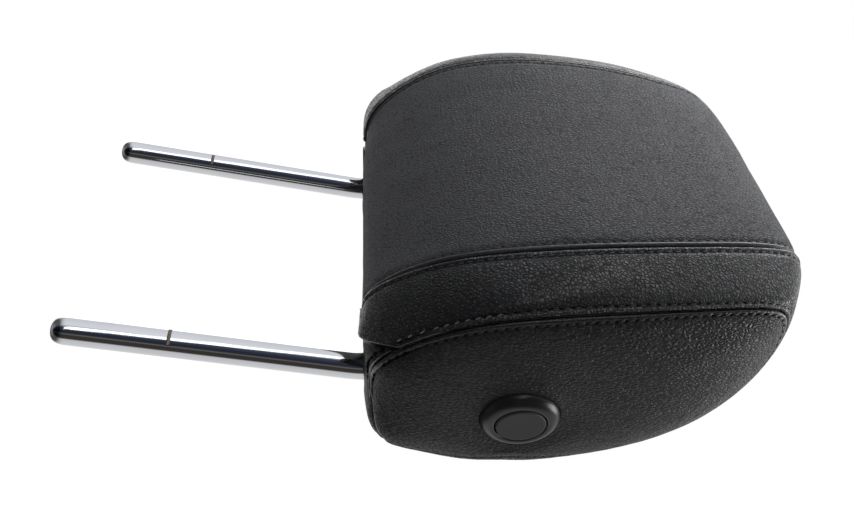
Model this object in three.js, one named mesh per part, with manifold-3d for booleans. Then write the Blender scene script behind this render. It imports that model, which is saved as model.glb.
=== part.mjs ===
// Car headrest on two bent posts, with a side button that frees its tilt.
// Millimetres, +Z up, -Y forward to the head, +X the side with the button.
// The origin is midway between the posts, level with the underside of the head.
import * as THREE from 'three';
import { mergeVertices } from 'three/addons/utils/BufferGeometryUtils.js';
import Module from 'manifold-3d';

const wasm = await Module();
wasm.setup();

// Gaps between neighbours
const touchGap = 0.3;
const runningGap = 0.05;

// Posts and crossbar, one bent bar
const barRadius = 6;
const postSpacing = 140;
const postTipZ = -133;
const postTipLength = 13;
const postBendStartZ = -8;
const postBendRadius = 60;
const notchZ = postTipZ + 48;
const notchWidth = 1.2;
const notchDepth = 2.2;
const cornerRadius = 20;
const axisY = -24;
const axisZ = 46;
const barSides = 16;

// Form of the head: its side outline is a closed smooth curve run by these (y, z) points,
// from the face over the top and the back to the underside
const outlineControls = [
  [-92, 60], [-99.5, 113], [-101, 159], [-94.5, 180], [-39, 180.5],
  [2, 145.5], [22, 100], [35.5, 62.5], [28, 30], [14, 1],
  [1, -1], [-28, -5], [-44, -12], [-76, 14],
];
const headHalfWidth = 113;
const poleY = -36;
const poleZ = 72;
const roundness = { front: 5.3, top: 3.8, rear: 3.7, bottom: 8 };

// Half-widths of the seams, from the lowest to the highest point of the outline,
// the outer one by how far it lies in from the widest point
const centreSeam = [65, 79, 82, 77.5, 64];
const sideSeamInset = [12, 6.5, 5.5, 5.5, 6.5, 10.5, 18.5];
const sideSeam = sideSeamInset.map((inset) => headHalfWidth - inset);
const angleStep = 9;
const hemAngle = -70;
const topSeamAngle = 128;
const lowSeamAngle = 236;
const coverThickness = 2;
const seamGap = 0.15;
const seamGapAngle = 0.09;

// Half the size of a cutting block that reaches past the whole object
const beyond = 300;

// Hollow core in the foam
const coreHalfWidth = 84;
const coreWall = 2.5;
const coreOutline = [[-50, 9], [6, 9], [6, 72], [-10, 118], [-64, 118], [-62, 25]];
const coreFloorZ = coreOutline[0][1];
const coreRearY = coreOutline[1][0];
const ribX = 41;
const ribThickness = 5;
const ribBottomZ = axisZ - 17;
const ribTopZ = axisZ + 17;
const armSlotFrontY = -27;
const armSlotRearY = 8;
const armSlotWidth = 19;
const screwPlaces = [[-48, 20], [48, 20], [-66, 106], [66, 106]];
const screwBossRadius = 5.5;
const screwShankRadius = 1.7;
const screwHeadRadius = 3.6;
const screwHeadHeight = 2.4;
const screwSeatY = axisY + 8;
const screwEndY = axisY - 14;

// Bushes, brake and lever
const bushOuterRadius = 9;
const bushFlangeRadius = 11;
const bushFlangeThickness = 1.5;
const sleeveRadius = 8.5;
const sleeveHalfLength = 12;
const sleevePinRadius = 1.5;
const wireRadius = 0.8;
const wrapTurns = 4;
const wrapPitch = 2.5;
const wrapRadius = sleeveRadius + wireRadius + 0.3;
const tangBottomZ = axisZ - 19;

// Button on the right side, just inside the widest point: its axis leans to the rear
const buttonInset = 0.5;
const buttonPlace = new THREE.Vector3(headHalfWidth - buttonInset, -25, 59);
const buttonLean = 7.7;
const buttonRadius = 10.3;
const buttonTop = 4.2;
const buttonPlate = 2.5;
const buttonSkirtEnd = -6;
const bezelRadius = 16.4;
const bezelHeight = 3.9;
const bezelBore = buttonRadius + 0.4;
const neckRadius = 12.6;
const guideBossHeight = 2.5;
const guideBossDepth = 2;
const guideBossFace = coreHalfWidth + guideBossHeight - buttonPlace.x;
const guideBossEnd = coreHalfWidth - coreWall - guideBossDepth - buttonPlace.x;
const guideFlangeBottom = guideBossFace + touchGap;
const guideFlangeTop = guideFlangeBottom + 2;
const neckEnd = guideFlangeTop + touchGap;
const guideEnd = guideBossEnd - 1;
const guideRadius = 5;
const rodRadius = 2.5;

// Lever between the button's rod and the free tang of the wound spring
const leverPinX = 20;
const leverPinY = axisY + 6;
const leverPinRadius = 2;
const leverHubRadius = 4;
const leverThickness = 4;
const leverArmWidth = 4;
const leverBottomZ = buttonPlace.z - leverThickness / 2;
const leverTopZ = buttonPlace.z + leverThickness / 2;
const lugGap = 1;
const lugThickness = 3;
const tangTopZ = leverTopZ + 5;
const rodTipGap = 0.42;

// Rims of the two slots in the underside
const slotPlaceY = -7.5;
const slotPlaceZ = -2;
const slotLean = 11.5;
const slotHalfStraight = 7.5;
const slotHalfWidth = 7;
const slotWall = 1.8;
const slotFlangeWidth = 4.5;
const slotFlangeThickness = 0.4;
const slotDepth = 17;

const DEG = Math.PI / 180;
const colours = {
  leather: { color: 0x1d1e20, roughness: 0.55, metalness: 0 },
  bandLeather: { color: 0x141516, roughness: 0.45, metalness: 0 },
  chrome: { color: 0xd8dadd, roughness: 0.08, metalness: 1 },
  satinPlastic: { color: 0x141416, roughness: 0.35, metalness: 0 },
  mattePlastic: { color: 0x1c1c1e, roughness: 0.6, metalness: 0 },
  corePlastic: { color: 0x2b2c2e, roughness: 0.6, metalness: 0 },
  foam: { color: 0x8d8b80, roughness: 0.95, metalness: 0 },
  steel: { color: 0x9a9da1, roughness: 0.35, metalness: 1 },
  bushPlastic: { color: 0xd9d6cb, roughness: 0.5, metalness: 0 },
};

// Solids: joining, cutting and placing

function toSolid(geometry) {
  const bare = geometry.clone();
  bare.deleteAttribute('normal');
  bare.deleteAttribute('uv');
  const merged = mergeVertices(bare, 1e-4);
  return new wasm.Manifold(new wasm.Mesh({
    numProp: 3,
    vertProperties: new Float32Array(merged.attributes.position.array),
    triVerts: new Uint32Array(merged.index.array),
  }));
}

function toGeometry(solid) {
  const mesh = solid.getMesh();
  const geometry = new THREE.BufferGeometry();
  geometry.setAttribute('position', new THREE.BufferAttribute(new Float32Array(mesh.vertProperties), 3));
  geometry.setIndex(new THREE.BufferAttribute(new Uint32Array(mesh.triVerts), 1));
  geometry.computeVertexNormals();
  return geometry;
}

function join(...geometries) {
  return toGeometry(geometries.map(toSolid).reduce((whole, piece) => whole.add(piece)));
}

function cut(geometry, ...tools) {
  return toGeometry(tools.map(toSolid).reduce((whole, tool) => whole.subtract(tool), toSolid(geometry)));
}

function common(geometry, other) {
  return toGeometry(toSolid(geometry).intersect(toSolid(other)));
}

function boxBetween(x0, x1, y0, y1, z0, z1) {
  const box = new THREE.BoxGeometry(x1 - x0, y1 - y0, z1 - z0);
  return box.translate((x0 + x1) / 2, (y0 + y1) / 2, (z0 + z1) / 2);
}

function rodAlongX(radius, x0, x1, y, z, sides = 24) {
  const rod = new THREE.CylinderGeometry(radius, radius, x1 - x0, sides);
  return rod.rotateZ(90 * DEG).translate((x0 + x1) / 2, y, z);
}

function rodAlongY(radius, x, y0, y1, z, sides = 14) {
  return new THREE.CylinderGeometry(radius, radius, y1 - y0, sides).translate(x, (y0 + y1) / 2, z);
}

function rodAlongZ(radius, x, y, z0, z1, sides = 16) {
  const rod = new THREE.CylinderGeometry(radius, radius, z1 - z0, sides);
  return rod.rotateX(90 * DEG).translate(x, y, (z0 + z1) / 2);
}

// A turned piece from a closed profile of [radius, height] points, about +Z
function turned(profile, sides = 32) {
  const points = [...profile, profile[0]].map(([radius, height]) => new THREE.Vector2(radius, height));
  return new THREE.LatheGeometry(points, sides).rotateX(90 * DEG);
}

// A bar of round section through a list of points
class StationPath extends THREE.Curve {
  constructor(stations) {
    super();
    this.stations = stations;
  }

  getPoint(t) {
    const place = THREE.MathUtils.clamp(t, 0, 1) * (this.stations.length - 1);
    const first = Math.min(Math.floor(place), this.stations.length - 2);
    return this.stations[first].clone().lerp(this.stations[first + 1], place - first);
  }

  getPointAt(u) {
    return this.getPoint(u);
  }

  getTangentAt(u) {
    return this.getTangent(u);
  }
}

function roundBar(stations, radius, sides) {
  const section = new THREE.Shape();
  for (let i = 0; i < sides; i += 1) {
    const angle = (i * 2 * Math.PI) / sides;
    const corner = [radius * Math.cos(angle), radius * Math.sin(angle)];
    if (i === 0) section.moveTo(...corner);
    else section.lineTo(...corner);
  }
  return new THREE.ExtrudeGeometry(section, {
    steps: stations.length - 1,
    curveSegments: 1,
    bevelEnabled: false,
    extrudePath: new StationPath(stations),
  });
}

// Stations round the corner b on the way from a to c
function bend(a, b, c, radius, steps) {
  const incoming = b.clone().sub(a).normalize();
  const outgoing = c.clone().sub(b).normalize();
  const turn = incoming.angleTo(outgoing);
  const reach = radius * Math.tan(turn / 2);
  const start = b.clone().addScaledVector(incoming, -reach);
  const sideways = outgoing.clone().addScaledVector(incoming, -Math.cos(turn)).normalize();
  return Array.from({ length: steps + 1 }, (_, i) => {
    const angle = (turn * i) / steps;
    return start.clone()
      .addScaledVector(incoming, radius * Math.sin(angle))
      .addScaledVector(sideways, radius * (1 - Math.cos(angle)));
  });
}

// Form of the head

function smoothWeights(f) {
  return [
    (1 - f) ** 3 / 6,
    (3 * f ** 3 - 6 * f ** 2 + 4) / 6,
    (-3 * f ** 3 + 3 * f ** 2 + 3 * f + 1) / 6,
    f ** 3 / 6,
  ];
}

function outlinePoint(angle) {
  const count = outlineControls.length;
  const place = ((((angle / 360) % 1) + 1) % 1) * count;
  const first = Math.floor(place);
  const weights = smoothWeights(place - first);
  const point = [0, 0];
  weights.forEach((weight, k) => {
    const control = outlineControls[(first + k - 1 + count) % count];
    point[0] += weight * control[0];
    point[1] += weight * control[1];
  });
  return point;
}

function seamHalfWidth(seam, angle) {
  const last = seam.length - 1;
  const run = [2 * seam[0] - seam[1], ...seam, 2 * seam[last] - seam[last - 1]];
  const place = ((Math.sin(angle * DEG) + 1) / 2) * last;
  const first = Math.min(Math.floor(place), last - 1);
  return smoothWeights(place - first).reduce((sum, weight, k) => sum + weight * run[first + k], 0);
}

function roundnessAt(angle) {
  const c = Math.cos(angle * DEG);
  const s = Math.sin(angle * DEG);
  const acrossDepth = (c > 0 ? roundness.front : roundness.rear) * c * c;
  const acrossHeight = (s > 0 ? roundness.top : roundness.bottom) * s * s;
  return acrossDepth + acrossHeight;
}

// Share of the outline's size that is left at half-width x
function shareAt(x, angle) {
  const power = roundnessAt(angle);
  return (1 - Math.min(Math.abs(x) / headHalfWidth, 1) ** power) ** (1 / power);
}

function widthAt(share, angle) {
  const power = roundnessAt(angle);
  return headHalfWidth * (1 - share ** power) ** (1 / power);
}

function formPoint(x, share, angle) {
  const [y, z] = outlinePoint(angle);
  return new THREE.Vector3(x, poleY + (y - poleY) * share, poleZ + (z - poleZ) * share);
}

function formNormal(x, share, angle) {
  const side = Math.sign(x) || 1;
  if (share < 1e-3) return new THREE.Vector3(side, 0, 0);
  const around = formPoint(x, share, angle + 0.01).sub(formPoint(x, share, angle - 0.01));
  const nudge = 1e-4;
  const across = share < 0.9
    ? formPoint(side * widthAt(share - nudge, angle), share - nudge, angle)
      .sub(formPoint(side * widthAt(share + nudge, angle), share + nudge, angle))
      .multiplyScalar(side)
    : formPoint(x + nudge, shareAt(x + nudge, angle), angle)
      .sub(formPoint(x - nudge, shareAt(x - nudge, angle), angle));
  return across.cross(around).normalize();
}

function headPoint(x, share, angle, inset) {
  return formPoint(x, share, angle).addScaledVector(formNormal(x, share, angle), -inset);
}

function atWidth(x, angle, inset) {
  return headPoint(x, shareAt(x, angle), angle, inset);
}

// A closed slab between two grids of points, open or closed round the rows
function slab(outer, inner, ring) {
  const rows = outer.length;
  const columns = outer[0].length;
  const positions = [...outer.flat(), ...inner.flat()].flatMap((point) => point.toArray());
  const outerIndex = (i, j) => (i % rows) * columns + j;
  const innerIndex = (i, j) => rows * columns + outerIndex(i, j);
  const faces = [];
  const addQuad = (a, b, c, d) => faces.push(a, b, c, a, c, d);
  for (let i = 0; i < (ring ? rows : rows - 1); i += 1) {
    for (let j = 0; j < columns - 1; j += 1) {
      addQuad(outerIndex(i, j), outerIndex(i, j + 1), outerIndex(i + 1, j + 1), outerIndex(i + 1, j));
      addQuad(innerIndex(i, j), innerIndex(i + 1, j), innerIndex(i + 1, j + 1), innerIndex(i, j + 1));
    }
    addQuad(outerIndex(i, 0), outerIndex(i + 1, 0), innerIndex(i + 1, 0), innerIndex(i, 0));
    const end = columns - 1;
    addQuad(outerIndex(i + 1, end), outerIndex(i, end), innerIndex(i, end), innerIndex(i + 1, end));
  }
  if (!ring) {
    for (let j = 0; j < columns - 1; j += 1) {
      addQuad(outerIndex(0, j + 1), outerIndex(0, j), innerIndex(0, j), innerIndex(0, j + 1));
      const end = rows - 1;
      addQuad(outerIndex(end, j), outerIndex(end, j + 1), innerIndex(end, j + 1), innerIndex(end, j));
    }
  }
  return closedMesh(positions, faces);
}

// A closed mesh with its shared points merged, its flat faces dropped and its faces turned outwards
function closedMesh(positions, faces) {
  const loose = new THREE.BufferGeometry();
  loose.setAttribute('position', new THREE.BufferAttribute(new Float32Array(positions), 3));
  loose.setIndex(faces);
  const merged = mergeVertices(loose, 1e-4);
  const index = Array.from(merged.index.array);
  const kept = [];
  const place = merged.attributes.position;
  const corner = (i) => new THREE.Vector3().fromBufferAttribute(place, i);
  let volume = 0;
  for (let i = 0; i < index.length; i += 3) {
    const [a, b, c] = index.slice(i, i + 3);
    if (a !== b && b !== c && c !== a) {
      kept.push(a, b, c);
      volume += corner(a).dot(corner(b).cross(corner(c)));
    }
  }
  merged.setIndex(volume < 0 ? kept.reverse() : kept);
  return merged;
}

function anglesBetween(from, to) {
  const count = Math.round((to - from) / angleStep);
  return Array.from({ length: count + 1 }, (_, i) => {
    const edge = i === 0 ? seamGapAngle : 0;
    return from + i * angleStep + (i === count ? -seamGapAngle : edge);
  });
}

// Covers

// A panel between two angles, with its columns given by a function of the angle
function panel(from, to, columnsAt) {
  const grid = (inset) => anglesBetween(from, to).map(
    (angle) => columnsAt(angle).map((x) => atWidth(x, angle, inset)),
  );
  return slab(grid(0), grid(coverThickness), false);
}

function centreColumns(angle) {
  const edge = seamHalfWidth(centreSeam, angle) - seamGap;
  return [-1, -0.5, 0, 0.5, 1].map((part) => part * edge);
}

function bandColumns(side) {
  return (angle) => {
    const from = seamHalfWidth(centreSeam, angle) + seamGap;
    const to = seamHalfWidth(sideSeam, angle) - seamGap;
    return [from, (from + to) / 2, to].map((x) => side * x).sort((a, b) => a - b);
  };
}

function bottomColumns(angle) {
  const centre = seamHalfWidth(centreSeam, angle);
  const edge = seamHalfWidth(sideSeam, angle);
  const half = [edge - seamGap, (centre + edge) / 2, centre, centre / 2];
  return [...half.map((x) => -x), 0, ...half.reverse()];
}

function sidePanel(side) {
  const angles = Array.from({ length: 360 / angleStep }, (_, i) => hemAngle + i * angleStep);
  const shares = [1, 0.8, 0.45, 0];
  const grid = (inset) => angles.map((angle) => {
    const edge = shareAt(seamHalfWidth(sideSeam, angle) + seamGap, angle);
    const row = shares.map((part) => {
      const share = part * edge;
      return headPoint(side * widthAt(share, angle), share, angle, inset);
    });
    return side > 0 ? row : row.reverse();
  });
  return slab(grid(0), grid(coverThickness), true);
}

// The whole form of the head, set in by a distance
function wholeForm(inset) {
  const rows = Array.from({ length: 360 / angleStep }, (_, i) => {
    const angle = hemAngle + i * angleStep;
    const centre = seamHalfWidth(centreSeam, angle);
    const edge = seamHalfWidth(sideSeam, angle);
    const half = [
      headPoint(headHalfWidth, 0, angle, inset),
      ...[0.45, 0.8].map((part) => {
        const share = part * shareAt(edge, angle);
        return headPoint(widthAt(share, angle), share, angle, inset);
      }),
      ...[edge, (centre + edge) / 2, centre, centre / 2].map((x) => atWidth(x, angle, inset)),
    ];
    const mirrored = half.map((point) => point.clone().multiply(new THREE.Vector3(-1, 1, 1)));
    return [...mirrored, atWidth(0, angle, inset), ...half.reverse()];
  });
  const columns = rows[0].length;
  const faces = [];
  rows.forEach((_, i) => {
    for (let j = 0; j < columns - 1; j += 1) {
      const a = i * columns + j;
      const b = ((i + 1) % rows.length) * columns + j;
      faces.push(a, b, b + 1, a, b + 1, a + 1);
    }
  });
  return closedMesh(rows.flat().flatMap((point) => point.toArray()), faces);
}

// Places along the button's axis, which leans to the rear
function alongButton(geometry) {
  return geometry.rotateY(90 * DEG).rotateZ(buttonLean * DEG).translate(...buttonPlace.toArray());
}

function rodForButton(radius, from, to, sides = 28) {
  return alongButton(rodAlongZ(radius, 0, 0, from, to, sides));
}

// Slot rims, in the frame of the underside
function slotPrism(side, halfWidth, from, to) {
  const outline = new THREE.Shape();
  outline.absarc(slotHalfStraight, 0, halfWidth, -90 * DEG, 90 * DEG, false);
  outline.absarc(-slotHalfStraight, 0, halfWidth, 90 * DEG, 270 * DEG, false);
  const prism = new THREE.ExtrudeGeometry(outline, {
    depth: to - from, bevelEnabled: false, curveSegments: 6,
  });
  return prism.translate(0, 0, from).rotateZ(90 * DEG).rotateX(slotLean * DEG)
    .translate((side * postSpacing) / 2, slotPlaceY, slotPlaceZ);
}

function slotGuide(side) {
  const collar = slotPrism(side, slotHalfWidth + slotWall, -slotFlangeThickness, slotDepth);
  const flange = slotPrism(side, slotHalfWidth + slotFlangeWidth, -slotFlangeThickness, 0.4);
  const hole = slotPrism(side, slotHalfWidth, -10, slotDepth + 5);
  const aboveCore = boxBetween(-beyond, beyond, -beyond, beyond, coreFloorZ - touchGap, beyond);
  return cut(join(collar, flange), hole, aboveCore);
}

function slotRoom(side) {
  return join(
    slotPrism(side, slotHalfWidth + slotWall + touchGap, -10, slotDepth),
    slotPrism(side, slotHalfWidth + slotFlangeWidth + touchGap, -10, 0.4 + touchGap),
  );
}

// Posts and crossbar

function postFrame() {
  const half = postSpacing / 2;
  const armRun = axisZ - postBendStartZ;
  // The bend's corner, from the arm's slope towards the crossbar
  let lean = Math.atan(-axisY / armRun);
  for (let i = 0; i < 20; i += 1) {
    lean = Math.atan(-axisY / (armRun - postBendRadius * Math.tan(lean / 2)));
  }
  const cornerZ = postBendStartZ + postBendRadius * Math.tan(lean / 2);
  const tipJoint = new THREE.Vector3(-half, 0, postTipZ + postTipLength - 3);
  const lowCorner = new THREE.Vector3(-half, 0, cornerZ);
  const highCorner = new THREE.Vector3(-half, axisY, axisZ);
  const middle = new THREE.Vector3(0, axisY, axisZ);
  const leftHalf = [
    tipJoint,
    ...bend(tipJoint, lowCorner, highCorner, postBendRadius, 4),
    ...bend(lowCorner, highCorner, middle, cornerRadius, 6),
  ];
  const mirror = new THREE.Vector3(-1, 1, 1);
  const rightHalf = leftHalf.map((point) => point.clone().multiply(mirror)).reverse();
  const bar = roundBar([...leftHalf, middle, ...rightHalf], barRadius, barSides);
  const tip = (side) => turned([
    [0, postTipZ], [2, postTipZ], [3.8, postTipZ + 0.8], [5.2, postTipZ + 2.5],
    [barRadius, postTipZ + 5.5], [barRadius, postTipZ + postTipLength], [0, postTipZ + postTipLength],
  ], barSides).translate(side * half, 0, 0);
  // A flat cut across the front of each post
  const notch = (side) => boxBetween(
    side * half - 10, side * half + 10, -10, notchDepth - barRadius,
    notchZ - notchWidth / 2, notchZ + notchWidth / 2,
  );
  const pinHole = rodAlongZ(sleevePinRadius + runningGap, 0, axisY, axisZ - 10, axisZ + 10);
  return cut(join(bar, tip(-1), tip(1)), notch(-1), notch(1), pinHole);
}

// A ring on the crossbar, its bore clear of the bar's corners
function ringOnBar(outerRadius, x0, x1) {
  const bore = (barRadius + runningGap) / Math.cos(Math.PI / 24);
  return cut(
    rodAlongX(outerRadius, x0, x1, axisY, axisZ),
    rodAlongX(bore, x0 - 1, x1 + 1, axisY, axisZ),
  );
}

function bush(side) {
  const inner = ribX - ribThickness / 2 - bushFlangeThickness - touchGap;
  const outer = ribX + ribThickness / 2 + 1;
  const flangeEnd = inner + bushFlangeThickness;
  const [x0, x1] = side > 0 ? [inner, outer] : [-outer, -inner];
  const [f0, f1] = side > 0 ? [inner, flangeEnd] : [-flangeEnd, -inner];
  return join(ringOnBar(bushOuterRadius, x0, x1), ringOnBar(bushFlangeRadius, f0, f1));
}

function brakeSleeve() {
  const pinHole = rodAlongZ(sleevePinRadius + runningGap, 0, axisY, axisZ - 10, axisZ + 10);
  return cut(ringOnBar(sleeveRadius, -sleeveHalfLength, sleeveHalfLength), pinHole);
}

function sleevePin() {
  const reach = sleeveRadius - 0.2;
  return rodAlongZ(sleevePinRadius, 0, axisY, axisZ - reach, axisZ + reach, 16);
}

// The wound spring: a tang up from the rear half, its turns round the sleeve, and the free tang
function wrapSpring() {
  const stepsPerTurn = 16;
  const start = -(wrapTurns * wrapPitch) / 2;
  const turns = Array.from({ length: wrapTurns * stepsPerTurn + 1 }, (_, i) => {
    const angle = (i * 2 * Math.PI) / stepsPerTurn;
    return new THREE.Vector3(
      start + (i * wrapPitch) / stepsPerTurn,
      axisY + wrapRadius * Math.cos(angle),
      axisZ + wrapRadius * Math.sin(angle),
    );
  });
  const tangY = axisY + wrapRadius;
  return roundBar([
    new THREE.Vector3(start, tangY, tangBottomZ),
    ...turns,
    new THREE.Vector3(-start, tangY, tangTopZ),
  ], wireRadius, 5);
}

// Core

function insetOutline(points, distance) {
  const lines = points.map((a, i) => {
    const b = points[(i + 1) % points.length];
    const length = Math.hypot(b[0] - a[0], b[1] - a[1]);
    const normal = [-(b[1] - a[1]) / length, (b[0] - a[0]) / length];
    return [normal, normal[0] * a[0] + normal[1] * a[1] + distance];
  });
  return lines.map(([n1, d1], i) => {
    const [n0, d0] = lines[(i + lines.length - 1) % lines.length];
    const det = n0[0] * n1[1] - n0[1] * n1[0];
    return [(d0 * n1[1] - d1 * n0[1]) / det, (n0[0] * d1 - n1[0] * d0) / det];
  });
}

// A prism along X from an outline of [y, z] points
function prismAlongX(outline, halfWidth) {
  const shape = new THREE.Shape(outline.map(([y, z]) => new THREE.Vector2(y, z)));
  const prism = new THREE.ExtrudeGeometry(shape, { depth: 2 * halfWidth, bevelEnabled: false });
  return prism.translate(0, 0, -halfWidth).rotateX(90 * DEG).rotateZ(90 * DEG);
}

function rodClearance() {
  return rodForButton(rodRadius + 0.8, rodTipEnd(), guideBossEnd + 3, 16);
}

function wholeCore() {
  const shell = cut(
    prismAlongX(coreOutline, coreHalfWidth),
    prismAlongX(insetOutline(coreOutline, coreWall), coreHalfWidth - coreWall),
  );
  const inside = prismAlongX(insetOutline(coreOutline, coreWall / 2), coreHalfWidth - coreWall / 2);
  const rib = (side) => {
    const [x0, x1] = [side * ribX - ribThickness / 2, side * ribX + ribThickness / 2];
    return common(boxBetween(x0, x1, -beyond, beyond, ribBottomZ, ribTopZ), inside);
  };
  const boss = ([x, z]) => common(rodAlongY(screwBossRadius, x, -beyond, beyond, z), inside);
  const guideBoss = rodForButton(neckRadius + 0.4, guideBossEnd, guideBossFace);
  const bushRoom = [-1, 1].map((side) => rodAlongX(
    bushOuterRadius + 0.15, side * ribX - 5, side * ribX + 5, axisY, axisZ,
  ));
  const armSlots = [-1, 1].map((side) => boxBetween(
    (side * postSpacing) / 2 - armSlotWidth / 2, (side * postSpacing) / 2 + armSlotWidth / 2,
    armSlotFrontY, armSlotRearY, 0, coreFloorZ + coreWall + 1,
  ));
  const guideHole = rodForButton(guideRadius + touchGap, guideEnd - 11, 0);
  return cut(
    join(shell, rib(-1), rib(1), ...screwPlaces.map(boss), guideBoss),
    ...bushRoom, ...armSlots, guideHole, rodClearance(),
  );
}

function frontCore(core) {
  const frontSpace = boxBetween(-beyond, beyond, -beyond, axisY - touchGap / 2, -beyond, beyond);
  const pilots = screwPlaces.map(
    ([x, z]) => rodAlongY(screwShankRadius + 0.1, x, screwEndY - 3, axisY + 5, z, 8),
  );
  return cut(common(core, frontSpace), ...pilots);
}

// The rear half also carries the two lugs of the lever's pin and the block of the fixed tang
function rearCore(core) {
  const rearSpace = boxBetween(-beyond, beyond, axisY + touchGap / 2, beyond, -beyond, beyond);
  const holes = screwPlaces.flatMap(([x, z]) => [
    rodAlongY(screwShankRadius + 0.4, x, axisY - 5, beyond, z, 8),
    rodAlongY(screwHeadRadius + 0.5, x, screwSeatY, beyond, z, 12),
  ]);
  const rearFace = coreRearY - coreWall / 2;
  const lugBottoms = [leverBottomZ - lugGap - lugThickness, leverTopZ + lugGap];
  const lugs = lugBottoms.map((z) => boxBetween(
    leverPinX - 4, leverPinX + 5, leverPinY - 5, rearFace, z, z + lugThickness,
  ));
  const tangX = -(wrapTurns * wrapPitch) / 2;
  const tangY = axisY + wrapRadius;
  const tangBlock = boxBetween(
    tangX - 3, tangX + 3, tangY - 3, rearFace, tangBottomZ - 2, tangBottomZ + 7,
  );
  const tangHole = rodAlongZ(wireRadius + 0.2, tangX, tangY, tangBottomZ - 0.3, tangBottomZ + 13, 12);
  const pinHole = rodAlongZ(
    leverPinRadius + 0.1, leverPinX, leverPinY, leverBottomZ - 7, leverTopZ + 9,
  );
  return cut(join(common(core, rearSpace), ...lugs, tangBlock), ...holes, tangHole, pinHole);
}

function coreScrew([x, z]) {
  const length = screwSeatY - screwEndY;
  const body = turned([
    [0, 0], [screwHeadRadius, 0], [screwHeadRadius, 1.2], [2.4, screwHeadHeight], [0, screwHeadHeight],
  ], 12);
  const shank = turned([
    [0, -length], [screwShankRadius, 2.5 - length], [screwShankRadius, 0.5], [0, 0.5],
  ], 8);
  const recess = join(boxBetween(-2, 2, -0.4, 0.4, 1, 5), boxBetween(-0.4, 0.4, -2, 2, 1, 5));
  return cut(join(body, shank), recess).rotateX(-90 * DEG).translate(x, screwSeatY + touchGap, z);
}

// Lever that opens the wound spring, its pin, and the button with its rod, guide and spring

// How far the rod's tip lies along the button's axis, just short of the lever's arm
function rodTipEnd() {
  const tipX = leverPinX + leverArmWidth / 2 + rodTipGap;
  return (tipX - buttonPlace.x) / Math.cos(buttonLean * DEG);
}

function releaseLever() {
  const bottom = leverBottomZ;
  const top = leverTopZ;
  const hub = rodAlongZ(leverHubRadius, leverPinX, leverPinY, bottom, top, 24);
  const halfArm = leverArmWidth / 2;
  const rodTipY = buttonPlace.y + rodTipEnd() * Math.sin(buttonLean * DEG);
  const armEndY = rodTipY - rodRadius - 0.3;
  const rodArm = boxBetween(leverPinX - halfArm, leverPinX + halfArm, armEndY, leverPinY, bottom, top);
  const tangArm = boxBetween(3.5, leverPinX, leverPinY - 4.3, leverPinY - 0.7, bottom, top);
  const pinHole = rodAlongZ(leverPinRadius + 0.1, leverPinX, leverPinY, bottom - 1, top + 1, 20);
  return cut(join(hub, rodArm, tangArm), pinHole);
}

function leverPin() {
  const reach = lugGap + lugThickness + 0.2;
  return rodAlongZ(
    leverPinRadius, leverPinX, leverPinY, leverBottomZ - reach, leverTopZ + reach, 20,
  );
}

function pushButton() {
  const skirtInner = buttonRadius - 1.5;
  const under = buttonTop - buttonPlate;
  const socketTop = -0.5;
  return alongButton(turned([
    [0, socketTop], [rodRadius + runningGap, socketTop], [rodRadius + runningGap, -4], [4.5, -4],
    [4.5, under], [skirtInner, under], [skirtInner, buttonSkirtEnd], [buttonRadius, buttonSkirtEnd],
    [buttonRadius, buttonTop - 0.7], [buttonRadius - 0.2, buttonTop - 0.2],
    [buttonRadius - 0.7, buttonTop], [0, buttonTop],
  ], 28));
}

function pushRod() {
  const tipEnd = rodTipEnd();
  return alongButton(turned([
    [0, tipEnd], [1.3, tipEnd + 0.35], [2.2, tipEnd + 1.3], [rodRadius, tipEnd + 2.5],
    [rodRadius, -0.8], [0, -0.8],
  ], 12));
}

function buttonBezel() {
  const rim = bezelHeight;
  return alongButton(turned([
    [bezelBore, neckEnd], [neckRadius, neckEnd], [neckRadius, -3], [bezelRadius, -3],
    [bezelRadius, rim - 4.2], [bezelRadius - 0.4, rim - 2.6], [bezelRadius - 1.3, rim - 1.3],
    [bezelRadius - 2.5, rim - 0.45], [bezelRadius - 3.8, rim],
    [bezelBore + 0.8, rim], [bezelBore + 0.25, rim - 0.2], [bezelBore, rim - 0.7],
  ], 28));
}

function rodGuide() {
  return alongButton(turned([
    [rodRadius + 0.1, guideEnd], [guideRadius, guideEnd], [guideRadius, guideFlangeBottom],
    [neckRadius - 0.3, guideFlangeBottom], [neckRadius - 0.3, guideFlangeTop],
    [rodRadius + 0.1, guideFlangeTop],
  ], 20));
}

function returnSpring() {
  const turns = 4;
  const stepsPerTurn = 12;
  const radius = 6.9;
  const wire = 0.5;
  const from = guideFlangeTop + wire + touchGap;
  const to = buttonTop - buttonPlate - wire - touchGap;
  const count = turns * stepsPerTurn;
  return alongButton(roundBar(Array.from({ length: count + 1 }, (_, i) => {
    const angle = (i * 2 * Math.PI) / stepsPerTurn;
    return new THREE.Vector3(
      radius * Math.cos(angle), radius * Math.sin(angle), from + ((to - from) * i) / count,
    );
  }), wire, 5));
}

// Foam, cut to clear the core, the slot rims and the button's ring

function bezelRoom() {
  return join(
    rodForButton(bezelRadius + touchGap, -3 - touchGap, 12),
    rodForButton(neckRadius + 0.4 + touchGap, guideBossEnd, 0),
  );
}

function foamPads() {
  const coreRoom = prismAlongX(insetOutline(coreOutline, -touchGap), coreHalfWidth + touchGap);
  const pad = cut(
    wholeForm(coverThickness + touchGap), coreRoom, slotRoom(-1), slotRoom(1), bezelRoom(),
  );
  const split = axisY;
  return {
    front: common(pad, boxBetween(-beyond, beyond, -beyond, split - touchGap / 2, -beyond, beyond)),
    rear: common(pad, boxBetween(-beyond, beyond, split + touchGap / 2, beyond, -beyond, beyond)),
  };
}

// The object

const object = new THREE.Group();

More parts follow.
